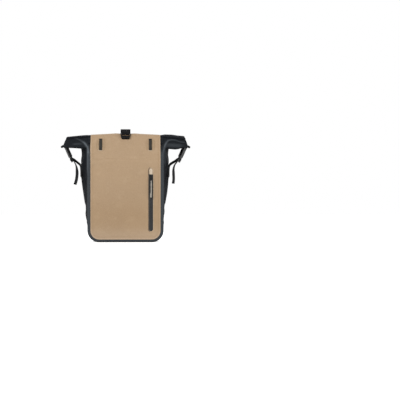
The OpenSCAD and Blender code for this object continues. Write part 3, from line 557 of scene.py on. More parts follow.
sides_z = np.concatenate([np.linspace(ROLL_FOOT + 4, SEAL, 26), np.linspace(SEAL, FLARE[0], 16)[1:],
                          np.linspace(FLARE[0], CORNER, 60)[1:]])
corner_a = np.linspace(0, np.pi / 2, 15)[1:]
base_x = np.linspace(HALF_W - CORNER, -(HALF_W - CORNER), 22)[1:-1]
station_x = np.concatenate([np.full(len(sides_z), HALF_W), HALF_W - CORNER + CORNER * np.cos(corner_a)])
station_z = np.concatenate([sides_z, CORNER - CORNER * np.sin(corner_a)])
normal_x = np.concatenate([np.ones(len(sides_z)), np.cos(corner_a)])
normal_z = np.concatenate([np.zeros(len(sides_z)), -np.sin(corner_a)])
sx = np.concatenate([station_x, base_x, -station_x[::-1]])[:, None]
sz = np.concatenate([station_z, 0 * base_x, station_z[::-1]])[:, None]
nx = np.concatenate([normal_x, 0 * base_x, -normal_x[::-1]])[:, None]
nz = np.concatenate([normal_z, 0 * base_x - 1, normal_z[::-1]])[:, None]
hand = np.where(sx < 0, -1.0, 1.0)

open_share = ease((sz - FLARE[0]) / (FLARE[1] - FLARE[0]))
bulge = np.where(hand < 0, BULGE[-1], BULGE[1])
swollen = np.where(hand < 0, np.interp(sz, (52, 75, 146, 196, 222, 247), (0, 0.18, 0.53, 0.81, 0.985, 1)),
                   np.interp(sz, (82, 110, 150, 177, 197, 222, 254), (0, 0.25, 0.57, 0.70, 0.78, 0.95, 1)))
# how much further each wing's end reaches at its top
TIP_OUT = {-1: 1.5, 1: 3.6}
up_wing = np.clip((sz - FLARE[1]) / (TOP - FLARE[1]), 0, 1)
reach = np.where(sz < FLARE[0], bulge * swollen,
                 np.where(sz < FLARE[1], bulge + (TIP + TIP_BULGE - bulge) * open_share,
                          TIP + TIP_BULGE * (1 - up_wing ** 2)
                          + np.where(hand < 0, TIP_OUT[-1], TIP_OUT[1]) * up_wing))
fold = 5.5 * (1 - open_share) + 0.4 * open_share
front = front_depth(sz)
back = back_depth(sz)
arc = np.linspace(0, np.pi / 2, 8)
inset = np.array([FLANGE, 14, 11, 8.5, 7])
t = np.linspace(0, 1, 87)[1:-1][None, :]
v = 2 * t - 1
# across a wing the side's points gather into a front and a back layer, with a quick step between them
side_y = front + fold + (back - front - 2 * fold) * (t + (ease((t - 0.46) / 0.08) - t) * open_share)
# the side folds inwards along its middle, and shallow dents and ridges cross it; the ridges' crests are painted
# paler, a painted highlight
pinch = 5.0 * hump(v, 0, 0.13) * ease((sz - 205) / 75) * (1 - open_share)
dent = 1.3 * np.sin(sz / 23 + 4 * v) * (1 - v * v) * ease((sz - 60) / 60) * (1 - open_share)
soft = (1 - open_share) * ease((sz - 24) / 20) * ease((1 - np.abs(v)) / 0.2)
side_y0, side_z0 = v * HALF_D, sz + 0 * v
fold_crest_highlight = 0 * side_z0
for (y0, z0), (y1, z1), width, height in (
        ((-18, 200), (-52, 128), 6, 1.5), ((-10, 196), (22, 120), 7, 1.4), ((-36, 226), (-58, 262), 5, 1.3),
        ((-6, 228), (38, 268), 6, 1.6), ((8, 214), (56, 226), 7, 1.2), ((-58, 96), (10, 70), 8, 1.3),
        ((20, 84), (58, 112), 8, -1.3), ((-40, 60), (40, 48), 7, 1.0), ((30, 176), (60, 150), 6, -1.1),
        ((-60, 170), (-46, 208), 5, -1.0)):
    dent = dent + line_ridge(side_y0, side_z0, (y0, z0), (y1, z1), width, height * 2.0) * soft
    if height > 0:
        fold_crest_highlight = fold_crest_highlight + line_ridge(side_y0, side_z0, (y0, z0), (y1, z1), width * 0.9, 0.11) * soft
side_out = reach * (1 - v * v) - pinch + dent * 0.85
# section of the strip: front flange, front fold, side, back fold, back flange; out of the body and along Y
blocks_out = [-np.maximum(inset[None, :], fold + 0.5), -fold + fold * np.sin(arc)[None, :], side_out,
              -fold + fold * np.sin(arc[::-1])[None, :], -np.maximum(inset[::-1][None, :], fold + 0.5)]
blocks_y = [front + 0 * inset[None, :], front + fold * (1 - np.cos(arc))[None, :], side_y,
            back - fold * (1 - np.cos(arc[::-1]))[None, :], back + 0 * inset[None, :]]
out = np.concatenate([b + 0 * sx for b in blocks_out], axis=1)
y = np.concatenate([b + 0 * sx for b in blocks_y], axis=1)
px = sx + nx * out
# the lower edges: the left one rises outwards; the right one sags, and rises again to clear the buckle
lower_lift = np.where(hand < 0, 1.8 * ease((np.abs(px) - 132) / 40),
                      3.0 * hump(np.abs(px), 174, 9) - 3.2 * hump(np.abs(px), 152, 16))
pz = sz + nz * out + lower_lift * (1 - ease((sz - FLARE[1]) / 22))
fold_crest_highlight = np.pad(fold_crest_highlight, ((0, 0), (len(inset) + len(arc), len(inset) + len(arc))))


def curve_distance(x, z, bends):
    """Distance from a line through a few points, taken as the least distance to 60 samples of it."""
    bends = np.array(bends, float)
    s = np.linspace(0, len(bends) - 1, 60)
    cx = np.interp(s, np.arange(len(bends)), bends[:, 0])
    cz = np.interp(s, np.arange(len(bends)), bends[:, 1])
    gap = np.hypot(x[..., None] - cx, z[..., None] - cz)
    return gap.min(axis=-1)


# the corner's fold runs on up each wing as a crease that curves out towards the tip
left_crease = curve_distance(-px, pz, [(113, 262), (113.3, 275), (114.2, 284), (117.2, 292.7), (122.4, 301.4),
                                       (128.5, 307.7), (140, 316.5), (153.5, 324)])
right_crease = curve_distance(px, pz, [(112.5, 262), (114.5, 275), (117, 287.5), (119, 294.5), (122, 301.5),
                                       (126, 308.5), (131, 314.8), (141.5, 317.5), (154, 317), (166, 312),
                                       (178, 312)])
crease = np.where(px < 0, left_crease, right_crease)
# the crease stands proud of the front layer, and a hollow runs beside it through both layers
columns_front = np.arange(px.shape[1])[None, :] < px.shape[1] // 2
lift = 3.4 * hump(crease, 0, 3.6) * ease((pz - 255) / 30) * columns_front
hollow = 2.0 * hump(crease, 10, 7) * ease((pz - 280) / 12)
# painted highlights: the welded margin that faces the light, the crease, one broad lit fold on each wing, and
# brighter lengths along the crease and the margin's outer line
fading = np.where(px < 0, 1 - 0.62 * ease((-px - 126) / 30), 1 - 0.3 * ease((px - 132) / 24))
margin_shine = 0.95 * ease((fold + 2.5 - (y - front)) / 3.5) * (1 - 0.85 * ease((pz - 262) / 30))
crease_shine = hump(crease, 0, 2.8) * ease((pz - 250) / 25) * fading
lit_fold = (0.50 * hump(px, 148, 26, 4) * hump(pz, 298, 6.5, 4)
            + 0.42 * hump(px, -146, 14, 4) * hump(pz, 302.5, 4, 4))
painted_glints = np.where(px < 0, 0.95 * ease((pz - 264) / 10) * (1 - ease((-px - 124) / 10)),
                    0.32 * hump(px, 122, 8)) * hump(crease, 0, 3.6)
painted_glints = painted_glints + 0.62 * hump(-px, 115.8, 2.6) * ease((pz - 200) / 30) * (1 - ease((pz - 272) / 12))
painted_glints = painted_glints + 0.55 * hump(px, 119.5, 3.6) * ease((pz - 225) / 20) * (1 - ease((pz - 286) / 12))
gusset_shine = np.clip((np.maximum(margin_shine, crease_shine) + lit_fold + painted_glints) * columns_front, 0, 2)
seam = hump(np.abs(y - front), 11, 0.8) + hump(np.abs(back - y), 11, 0.8)
gusset_shine = np.maximum(gusset_shine, 0.22 * seam * (out > -2) * (1 - open_share))
gusset_shine = gusset_shine + fold_crest_highlight
gusset_points = arched(px, y - lift + hollow * (sz > FLARE[0]), pz)
gusset_cloth = surface("gusset_cloth", np.flip(gusset_points, axis=0), black_fabric, wall=1.3,
                       shine=np.flip(gusset_shine, axis=0))
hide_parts("base_gusset", "left_side_gusset", "right_side_gusset", "left_wing", "right_wing")


def on_gusset(k, y, z):
    """X of the swollen side at (y, z), read off the gusset's grid by straight-line interpolation: y along each
    row of the grid, then z between the two rows on either side."""
    own = np.flatnonzero((hand[:, 0] == k) & (sz[:, 0] > 100) & (sz[:, 0] < BEND[0]))
    own = own[np.argsort(sz[own, 0])]
    sides = slice(len(inset) + len(arc), -len(inset) - len(arc))
    y, z = np.broadcast_arrays(y, z)
    across = np.stack([np.interp(y.ravel(), side_y[r], px[r, sides]) for r in own])
    low = np.clip(np.searchsorted(sz[own, 0], z.ravel()) - 1, 0, len(own) - 2)
    share_up = (z.ravel() - sz[own[low], 0]) / (sz[own[low + 1], 0] - sz[own[low], 0])
    each = np.arange(y.size)
    return (across[low, each] * (1 - share_up) + across[low + 1, each] * share_up).reshape(y.shape)


# the wings' share of the outer turn
for hand_name, k in (("left", -1), ("right", 1)):
    t = np.linspace(0.0, 4.5, 60)[:, None]
    end = MOUTH_HALF + 2 - 6 * ease(t / 1.2) + TIP_OUT[k]
    wing_x = k * (panel_half - 9 + (end - panel_half + 9) * np.linspace(0, 1, 42)[None, :])
    into, up = round_the_roll(t + 0 * wing_x, 0.2, 0.9)
    loose = np.clip(t - 0.5, 0, 1)
    sag = ripple(wing_x + 9 * t, 1.7 + k, 1.5) * loose * ease((np.abs(wing_x) - panel_half + 2) / 12)
    puff = 0.9 * np.sin(wing_x / 6.5 + 2.2 * t + k) * hump(np.abs(wing_x), 118, 16) * loose
    crown = ((6.2 if k > 0 else 2.3) * ease((np.abs(wing_x) - 100) / 22)
             + (1.2 if k > 0 else 0.4) * hump(np.abs(wing_x), 144, 13)) * ease((t - 0.3) / 0.7)
    points = leaning(wing_x, into + puff, up + sag + crown)
    if k > 0:
        points = np.flip(points, axis=1)
    surface(f"{hand_name}_wing_turn", np.flip(points, axis=1), black_fabric, wall=1.3)


# ---------- roof and back ----------
# Black fabric too: the roof slopes from the back's top edge up to the mouth and sags a little; the back is
# kept flat by the board behind it, and welded over the gusset's flange.

BACK_HALF = HALF_W - 2
t = np.linspace(0, 1, 40)[:, None]
roof_x = np.linspace(-BACK_HALF, BACK_HALF, 49)[None, :]
rise = np.clip((t - 0.06) / 0.84, 0, 1)
roof_y = HALF_D + 0.2 + (front_depth(SEAL) + LAYERS - HALF_D) * rise + 0 * roof_x
roof_z = (ROOF + (SEAL - ROOF) * rise + 1.4 * ease(t / 0.06)
          - 2.4 * np.sin(np.pi * rise) * np.cos(np.pi * roof_x / 2 / BACK_HALF))
climb = np.clip((t - 0.9) / 0.1, 0, 1)
roof_y = roof_y + climb * 10 * math.tan(LEAN)
roof_z = roof_z + climb * 10 + 0 * roof_x
roof_z = (roof_z + 1.0 * np.sin(roof_x / 11 + 5 * rise) * np.sin(np.pi * rise)
          * ease(np.abs(roof_x) / 60 - 0.3))
fall = (1 - rise) * (HALF_D - float(front_depth(SEAL)))
for start, end, width, height in (
        ((-20, 60), (-70, 20), 6, 1.3), ((22, 64), (78, 26), 6, 1.4), ((-96, 88), (-52, 60), 5, 1.2),
        ((98, 84), (60, 62), 5, 1.3), ((-40, 10), (-100, 30), 6, -1.2), ((34, 12), (104, 40), 7, -1.2)):
    ridge = line_ridge(roof_x + 0 * fall, fall + 0 * roof_x, start, end, width, height)
    roof_z = roof_z + ridge * np.sin(np.pi * rise)
roof_points = arched(roof_x + 0 * roof_y, roof_y, roof_z)
rear_top_cloth = surface("rear_top_cloth", np.flip(roof_points, axis=0), black_fabric,
                         wall=1.3)
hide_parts("rear_top_panel")

back_r = CORNER - 2
back_rows = np.concatenate([2 + back_r * (1 - np.cos(np.linspace(0, np.pi / 2, 12))),
                            np.linspace(2 + back_r, ROOF, 30)[1:]])
below_corner = np.maximum(2 + back_r - back_rows, 0)
back_half_at = np.where(back_rows < 2 + back_r,
                        BACK_HALF - back_r + np.sqrt(np.clip(back_r ** 2 - below_corner ** 2, 0, None)),
                        BACK_HALF)
bx = np.linspace(-1, 1, 41)[None, :] * back_half_at[:, None]
bz = back_rows[:, None] + 0 * bx
back_points = np.stack([bx, HALF_D + 1.4 + 0 * bx, bz], axis=-1)
back_rim = np.minimum(BACK_HALF - np.abs(bx), ROOF - bz)
from_centre = np.hypot(np.clip(np.abs(bx) - (BACK_HALF - back_r), 0, None), 2 + back_r - bz)
back_rim = np.where(bz < 2 + back_r, np.minimum(back_rim, back_r - from_centre), back_rim)
black_welded = fabric("black_welded", (0.0105, 0.0120, 0.0155), (0.0060, 0.0068, 0.0090),
                      (0.030, 0.034, 0.042), rough=(0.5, 0.66), specular=0.1, sheen=0.0, edge_line=True)
back_cloth = surface("back_cloth", np.flip(back_points, axis=1), black_welded, wall=1.3,
                     rim=np.flip(back_rim, axis=1))
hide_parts("back_panel")


# ---------- zip ----------
# A water-tight zip on the right of the front: two matt lips on a dark tape, welded into a slot with a raised
# rim. The slider parks under a pale moulded garage and carries a long pull.

ZIP_X, ZIP_LOW, ZIP_TOP, ZIP_HALF = 77.0, 34.0, 206.0, 6.4
ZIP_FACE = -71.45


def stadium(half, low, high):
    """Closed outline of an upright slot with round ends, anticlockwise seen from the front, and its outward
    normals."""
    a = np.linspace(0, np.pi, 14)
    top = np.stack([ZIP_X + half * np.cos(a), high - half + half * np.sin(a)], axis=-1)
    foot = np.stack([ZIP_X - half * np.cos(a), low + half - half * np.sin(a)], axis=-1)
    normals = np.concatenate([np.stack([np.cos(a), np.sin(a)], axis=-1),
                              np.stack([-np.cos(a), -np.sin(a)], axis=-1)])
    return np.concatenate([top, foot]), normals


outline, outward = stadium(ZIP_HALF + 0.9, ZIP_LOW - 1.2, ZIP_TOP + 20)
q = np.linspace(0, np.pi, 9)
offset = 1.5 * np.cos(q)
rise = 0.85 * np.sin(q) ** 0.8 - 0.25
rim_points = np.stack([outline[:, None, 0] + outward[:, None, 0] * offset,
                       ZIP_FACE - rise + 0 * outline[:, None, 0],
                       outline[:, None, 1] + outward[:, None, 1] * offset], axis=-1)
# the rim's pale colour is a painted highlight on its raised edge, and its left side is painted darker towards the
# dark colour given, a painted shade
lit_rim_sand = fabric("sand_rim_painted_highlight", (0.50, 0.36, 0.225), (0.42, 0.29, 0.17), (0.66, 0.52, 0.37), weave=0.05,
                   rough=(0.5, 0.62), painted_light_and_wear_colour=(0.10, 0.075, 0.050))
painted_left_shade = 1.05 * ease(-outward[:, None, 0] * 1.6) * ease(1.2 - q / np.pi * 0.9 + 0 * offset)
surface("zip_rim", rim_points, lit_rim_sand, wrap=(True, False), shine=painted_left_shade)

v = np.concatenate([ZIP_LOW + ZIP_HALF * (1 - np.cos(np.linspace(0, np.pi / 2, 12))),
                    np.linspace(ZIP_LOW + ZIP_HALF, ZIP_TOP + 2, 90)[1:]])[:, None]
round_foot = np.sqrt(np.clip(ZIP_HALF ** 2 - (ZIP_LOW + ZIP_HALF - v) ** 2, 0.01, None))
wide = np.where(v < ZIP_LOW + ZIP_HALF, round_foot, ZIP_HALF)
u = np.array([0.04, 0.08, 0.14, 0.3, 0.55, 0.8, 0.94, 0.985, 1])
u = np.concatenate([-u[::-1], [0], u])[None, :]
# a groove parts the two lips above the bottom stop, with a faint ripple of the teeth under them
parted = ease((v - 57) / 3)
lip = (1.15 * (1 - np.abs(u) ** 16) - 0.55 * hump(u * wide, 0, 0.45) * parted
       + 0.10 * np.sin(v * np.pi / 2.0) * hump(np.abs(u * wide), 1.5, 0.8) * parted)
zip_points = np.stack([ZIP_X + u * wide, ZIP_FACE + 0.1 - lip, v + 0 * u], axis=-1)
zip_grey = fabric("zip_tape", (0.026, 0.026, 0.027), (0.017, 0.018, 0.019), (0.052, 0.053, 0.055),
                  threads=1900.0, rough=(0.5, 0.62), specular=0.3, sheen=0.02)
zip_lips = surface("zip_lips", zip_points, zip_grey)
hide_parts("zip_tape")

t = np.linspace(0, 1, 22)[:, None]
u = np.linspace(-1, 1, 19)[None, :]
wide = ((5.4 - 1.9 * ease((t - 0.7) / 0.08))
        * np.sqrt(np.clip(1 - np.clip((t - 0.95) / 0.05, 0, 1) ** 2, 0.0, 1)) + 0.02)
tall = (3.4 * (1 - 0.25 * ease((t - 0.66) / 0.1))
        * np.sqrt(np.clip(1 - np.clip((t - 0.93) / 0.07, 0, 1) ** 2, 0, 1)))
garage_points = np.stack([ZIP_X + wide * squared(u, 0.8),
                          ZIP_FACE + 0.1 - tall * (1 - np.abs(u) ** 3.2) - 0.25,
                          ZIP_TOP - 0.6 + 18 * t + 0 * u], axis=-1)
cap_pale = fabric("garage_sand", (0.68, 0.55, 0.41), (0.58, 0.46, 0.33), (0.80, 0.70, 0.58), weave=0.03,
                  threads=900.0, rough=(0.38, 0.5), specular=0.5)
zip_garage = surface("zip_garage_cap", garage_points, cap_pale, wall=1.0)
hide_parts("zip_garage")


# ---------- moulded parts ----------
# Every moulded part keeps the shape it was drawn with. A copy of it gets small rounded edges, as a mould gives,
# and the fine grain of glass-filled nylon or acetal.

bodies_of = {node: body for body, nodes in frame["record"]["behaviour"]["bodies"].items() for node in nodes}


def plastic(name, colour, worn, rough=(0.34, 0.5), grain=2600.0, specular=0.4):
    """Moulded plastic: fine grain in the bump, cloudy roughness, pale scuffs."""
    material, nodes, links = new_material(name)
    tree = material.node_tree
    shader = nodes["shader"]
    place = nodes.new("ShaderNodeTexCoord")
    cloudy = mottled(tree, place.outputs["Object"], 60.0, grain)
    base = mix_colour(tree, scaled(tree, cloudy.outputs["Flecks"], 0.35, 0.75, 0.0, 0.3), colour, worn)
    base = mix_colour(tree, scaled(tree, cloudy.outputs["Scuffs"], 0.0, 1.0, 0.0, 0.25), base, worn)
    coat(tree, shader, base, cloudy, rough, specular)
    emboss(tree, shader, cloudy.outputs["Flecks"], 0.25, 0.00012)
    return material


def eased(node, width, material, hang=None):
    """Copy of a drawn part with its edges rounded to `width` millimetres, shown in its place. `hang` moves its
    points, where the part hangs a little askew on soft webbing."""
    mesh = frame["nodes"][node].data.copy()
    shape = bmesh.new()
    shape.from_mesh(mesh)
    bmesh.ops.remove_doubles(shape, verts=shape.verts, dist=0.00001)
    bmesh.ops.dissolve_limit(shape, angle_limit=math.radians(1.5), verts=shape.verts, edges=shape.edges)
    shape.to_mesh(mesh)
    shape.free()
    if hang:
        corners = np.empty(3 * len(mesh.vertices))
        mesh.vertices.foreach_get("co", corners)
        mesh.vertices.foreach_set("co", hang(corners.reshape(-1, 3) * 1000).ravel() * 0.001)
    mesh.materials.clear()
    mesh.materials.append(material)
    mesh.polygons.foreach_set("use_smooth", [True] * len(mesh.polygons))
    piece = bpy.data.objects.new(node + "_moulded", mesh)
    scene.collection.objects.link(piece)
    soft = piece.modifiers.new("eased", "BEVEL")
    soft.width = width * 0.001
    soft.segments = 2
    soft.limit_method = "ANGLE"
    soft.angle_limit = math.radians(38)
    soft.use_clamp_overlap = True
    weigh = piece.modifiers.new("normals", "WEIGHTED_NORMAL")
    weigh.keep_sharp = False
    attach(piece, bodies_of[node])
    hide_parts(node)
    return piece


black_plastic = plastic("black_acetal", (0.0062, 0.0065, 0.0071), (0.022, 0.023, 0.025), rough=(0.32, 0.46),
                        specular=0.12)
nylon = plastic("graphite_nylon", (0.030, 0.032, 0.035), (0.075, 0.078, 0.082), rough=(0.45, 0.62))
zip_black = plastic("zip_plastic", (0.006, 0.006, 0.0065), (0.024, 0.024, 0.024), rough=(0.32, 0.45),
                    specular=0.32)
eased("zip_slider", 0.5, zip_black)
eased("zip_pull", 0.5, zip_black)

# pale rubbery inlay down the middle of the pull, and its rounded tip
t = np.linspace(0, 1, 60)[:, None]
u = np.linspace(-1, 1, 13)[None, :]
inlay_z = 186.5 - 51.5 * t + 0 * u
half = np.where(t < 0.7, 1.75 + 0.25 * np.cos(t * 26), 1.75 + 0.75 * ease((t - 0.7) / 0.12)) \
    * np.sqrt(np.clip(1 - np.clip((0.03 - t) / 0.03, 0, 1) ** 2, 0, 1)) \
    * np.sqrt(np.clip(1 - np.clip((t - 0.95) / 0.05, 0, 1) ** 2, 0, 1)) + 0.01
centre = ZIP_X + 0.55 - 0.9 * ease((t - 0.66) / 0.2)
inlay = np.stack([centre + half * u, -78.45 - 0.55 * (1 - np.abs(u) ** 2.4) * (half > 0.3) + 0 * t, inlay_z],
                 axis=-1)
pale_rubber = plastic("pale_rubber", (0.36, 0.33, 0.285), (0.50, 0.46, 0.41), rough=(0.35, 0.5), specular=0.5)
surface("pull_inlay", np.flip(inlay, axis=1), pale_rubber, body="zip_pull")


# ---------- webbing ----------
# Woven nylon webbing, with a fine rib across and a flat twill. Ribbons are laid along the paths they were drawn
# on; their ends are cut hot and bar-tacked.

def webbing_material(name, colour, light):
    """Webbing on its UV map: twill lines that slope one way across it."""
    material, nodes, links = new_material(name)
    tree = material.node_tree
    shader = nodes["shader"]
    uv = nodes.new("ShaderNodeUVMap")
    uv.uv_map = "UVMap"
    split = nodes.new("ShaderNodeSeparateXYZ")
    links.new(uv.outputs[0], split.inputs[0])
    slope = math_node(tree, "ADD", math_node(tree, "MULTIPLY", split.outputs[0], 2 * math.pi / 0.0021),
                      math_node(tree, "MULTIPLY", split.outputs[1], 2 * math.pi / 0.0017))
    twill = math_node(tree, "ABSOLUTE", math_node(tree, "SINE", math_node(tree, "MULTIPLY", slope, 0.5)))
    rib = math_node(tree, "ABSOLUTE", math_node(tree, "SINE", math_node(tree, "MULTIPLY", split.outputs[1],
                                                                        math.pi / 0.0011)))
    relief = math_node(tree, "ADD", math_node(tree, "MULTIPLY", twill, 0.6),
                       math_node(tree, "MULTIPLY", rib, 0.4))
    place = nodes.new("ShaderNodeTexCoord")
    cloudy = mottled(tree, place.outputs["Object"], 40.0, 1600.0)
    base = mix_colour(tree, scaled(tree, relief, 0.2, 1.0, 0.0, 0.5), colour, light)
    base = mix_colour(tree, scaled(tree, cloudy.outputs["Flecks"], 0.45, 0.75, 0.0, 0.4), base, light)
    coat(tree, shader, base, cloudy, (0.55, 0.72), 0.07)
    emboss(tree, shader, relief, 0.6, 0.00025)
    return material


def smooth_path(path, steps=8):
    """Points on a uniform Catmull-Rom curve through the path's own points, `steps` for each stretch."""
    p = np.asarray(path, float)
    p = np.concatenate([2 * p[:1] - p[1:2], p, 2 * p[-1:] - p[-2:-1]])
    out = []
    for k in range(1, len(p) - 2):
        t = np.linspace(0, 1, steps, endpoint=False)[:, None]
        a, b, c, d = p[k - 1], p[k], p[k + 1], p[k + 2]
        out.append(0.5 * (2 * b + (c - a) * t + (2 * a - 5 * b + 4 * c - d) * t ** 2
                          + (3 * b - 3 * c + d - a) * t ** 3))
    return np.concatenate(out + [p[-2:-1]])


def ribbon(name, path, across, width, thick, material, body="bag", closed=False, twist=0.0, sides=24):
    """Webbing along a path of points: a flat rounded section, `width` along `across` and `thick` along the
    normal, carried along the path. `twist` turns it about its own run, in degrees at each point. The ends are
    closed to a line."""
    path = np.asarray(path, float)
    across = np.asarray(across, float)
    ahead = np.gradient(path, axis=0)
    if closed:
        ahead = np.roll(path, -1, axis=0) - np.roll(path, 1, axis=0)
    ahead /= np.linalg.norm(ahead, axis=1, keepdims=True)
    normal = np.cross(ahead, across)
    normal /= np.linalg.norm(normal, axis=1, keepdims=True)
    turn = np.radians(np.broadcast_to(twist, len(path)))[:, None]
    across, normal = across * np.cos(turn) + normal * np.sin(turn), normal * np.cos(turn) - across * np.sin(turn)
    a = np.linspace(0, 2 * np.pi, sides + 1)[:-1]
    width, thick = (np.broadcast_to(size, len(path))[:, None] / 2 for size in (width, thick))
    flat = squared(np.cos(a), 0.28) * width
    fat = squared(np.sin(a), 0.6) * thick
    rows = path[:, None, :] + flat[..., None] * across[:, None, :] + fat[..., None] * normal[:, None, :]
    if not closed:
        rows = np.concatenate([path[:1, None, :] + 0.02 * (rows[:1] - path[:1, None, :]), rows,
                               path[-1:, None, :] + 0.02 * (rows[-1:] - path[-1:, None, :])])
    return surface(name, rows, material, body=body, wrap=(closed, True))


black_webbing = webbing_material("black_webbing", (0.0052, 0.0056, 0.0064), (0.017, 0.018, 0.0205))


def stitches(name, path, across, pitch, width, thick):
    """Row of stitches along straight lines between points: a ribbon of thread that swells and pinches as
    |sin(pi s / pitch)|, where s is the length run."""
    path = np.asarray(path, float)
    run = np.concatenate([[0], np.cumsum(np.linalg.norm(np.diff(path, axis=0), axis=1))])
    count = max(1, round(run[-1] / pitch))
    s = np.linspace(0, run[-1], 6 * count + 1)
    line = np.stack([np.interp(s, run, path[:, k]) for k in range(3)], axis=-1)
    beat = 0.3 + 0.7 * np.abs(np.sin(np.pi * count * s / run[-1]))
    return ribbon(name, line, across, width * beat, thick * beat, sewing_thread, sides=8)


sewing_thread = webbing_material("sewing_thread", (0.020, 0.020, 0.021), (0.060, 0.060, 0.062))
grey_webbing = webbing_material("grey_webbing", (0.034, 0.031, 0.026), (0.072, 0.066, 0.056))


# ---------- lash loops ----------
# Two short upright daisy loops of grey webbing for lashing things to the front. Each is bar-tacked to an oval
# patch of the sand fabric that is welded on.

def on_front(x, z, along_x, out, up):
    """Points in millimetres from a spot on the leaning front: sideways, out of the face and up along it."""
    c, s = math.cos(LEAN), math.sin(LEAN)
    y = float(front_depth(z)) - 1.45
    return np.stack(np.broadcast_arrays(x + along_x, y - out * c + up * s, z + out * s + up * c),
                    axis=-1).astype(float)


LASH_X, LASH_Z = 75.5, TOP - 33
patch_sand = fabric("patch_sand", (0.405, 0.275, 0.158), (0.360, 0.242, 0.138), (0.52, 0.385, 0.25),
                    patches=9.0, edge_line=True, painted_light_and_wear_colour=(0.58, 0.46, 0.33))
for hand_name, k in (("left", -1), ("right", 1)):
    r = np.concatenate([np.linspace(0, 0.8, 9), [0.87, 0.92, 0.96, 0.985, 1.0]])[:, None]
    a = np.linspace(0, 2 * np.pi, 61)[:-1][None, :]
    ox = 14.4 * r * squared(np.cos(a), 0.62)
    oz = 23.6 * r * squared(np.sin(a), 0.62)
    out = 0.95 * (1 - r ** 9) - 0.25 * r ** 20 + 0.12 * hump(r, 0.86, 0.05) + 0 * a
    # a pale spot just below the loop's lower end: painted highlight
    painted_highlight_below_loop = 0.8 * hump(ox, -0.5, 6) * hump(oz, -21.5, 3.2)
    patch = surface(f"{hand_name}_lash_pad", on_front(k * LASH_X, LASH_Z, ox, out, oz), patch_sand,
                    wrap=(False, True), rim=4.6 + 14 * (1 - r) + 0 * a, shine=painted_highlight_below_loop)
    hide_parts(f"{hand_name}_lash_patch")
    s = np.linspace(-1, 1, 41)
    lift = 1.75 + 1.5 * (1 - np.clip(np.abs(s) * 1.35 - 0.35, 0, 1) ** 2)
    loop = ribbon(f"{hand_name}_lash_web", on_front(k * LASH_X, LASH_Z, 0 * s, lift, 20 * s), (1, 0, 0), 9,
                  1.7, grey_webbing)
    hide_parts(f"{hand_name}_lash_loop")
    for end_name, up in (("lower", -17.2), ("upper", 17.2)):
        for row_name, more in (("first", -0.9), ("second", 0.9)):
            stitches(f"{hand_name}_lash_{end_name}_{row_name}_tack",
                     on_front(k * LASH_X, LASH_Z, np.linspace(-4, 4, 5), 3.15, up + more),
                     (0, math.sin(LEAN), math.cos(LEAN)), 0.8, 1.5, 0.7)


# ---------- centre strap ----------
# Webbing from the top rail over the roof and the roll, with a moulded ring sewn to its end. The ring hooks
# over a catch on the front and keeps the roll shut.

STRAP_TOP = TOP + 14.4
PIN_Y, PIN_Z = float(front_depth(TOP + 0.5)) - 1.4 - 5, TOP + 0.5
roll_back = float(leaning(np.zeros(1), np.zeros(1), np.zeros(1))[0, 1]) + ROLL_T / 2 + 4
web_path = [(72.25, 249), (72.25, ROOF + 0.4), (71.4, ROOF + 2.6), (69, ROOF + 4.2), (58, ROOF + 6.6),
            (28, ROOF + 11.6), (13, ROOF + 17.6), (roll_back + 7, ROOF + 28), (roll_back + 3, TOP - 7),
            (roll_back - 2, STRAP_TOP - 7), (roll_back - 7, STRAP_TOP - 1.8), (roll_back - 13, STRAP_TOP),
            (PIN_Y + 6, STRAP_TOP - 0.4), (PIN_Y + 2.4, STRAP_TOP - 2.4), (PIN_Y + 0.4, STRAP_TOP - 6),
            (PIN_Y - 0.2, PIN_Z + 3.6)]
curve = smooth_path([(0, y, z) for y, z in web_path], 7)
top_web = ribbon("top_web", curve, (1, 0, 0), 30, 1.6, black_webbing)
a = np.linspace(0, 2 * np.pi, 25)[:-1]
ring_loop = np.stack([0 * a, PIN_Y + 2.15 * np.cos(a), PIN_Z + 2.15 * np.sin(a)], axis=-1)
ribbon("top_web_loop", ring_loop, (1, 0, 0), 24, 1.3, black_webbing, closed=True)
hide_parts("top_strap")
for row_name, up in (("lower", 4.6), ("upper", 6.6)):
    end_z, end_y = zip(*((z, y) for y, z in web_path[:-5:-1]))
    row = [(x, float(np.interp(PIN_Z + up, end_z, end_y)) - 0.85, PIN_Z + up) for x in (-12, 12)]
    stitches(f"top_web_{row_name}_tack", row, (0, 0, 1), 2.4, 0.8, 0.6)
eased("top_hook", 0.7, black_plastic)
# the catch is drawn in black plastic, darker than the sand fabric it is made of, to stand for the shade inside the
# ring: painted shade
eased("top_catch", 0.5, black_plastic)


# ---------- side buckles and straps ----------
# Each end of the roll has a tab of webbing that holds the buckle's male half. The female half hangs on it and
# takes the strap that comes up from a patch on the gusset and ends in a loose tail.

TAB = (MOUTH_HALF + 5, TOP - 35.5)
BUCKLE_Y = float(leaning(np.full(1, ROLL_HALF), np.zeros(1), np.zeros(1))[0, 1]) + 1
BUCKLE_A = math.radians(24)
WEB_W = 20.0
END_BAR = -53.8
PATCH_Z = TOP - 120
PATCH_SIZE = (28, 26)
# points of the curve for each stretch of a path, and the path's point between the ladder's bars
STRETCH = 6
LADDER_MARK = 12
# degrees that each buckle hangs turned about its own length
SWING = {-1: 10.0, 1: 17.0}
TAILS = {-1: [(155, 242), (151, 234), (148.4, 222), (147.6, 208), (149.6, 190), (154, 175)],
         1: [(155, 242), (150, 235), (146.6, 222), (146.6, 208), (147, 192), (145.6, 178)]}


def hung(p):
    """(x, z) of a point given from the buckle's web bar, along its thickness and its length."""
    c, s = math.cos(BUCKLE_A), math.sin(BUCKLE_A)
    return TAB[0] + p[0] * c + p[1] * s, TAB[1] - p[0] * s + p[1] * c


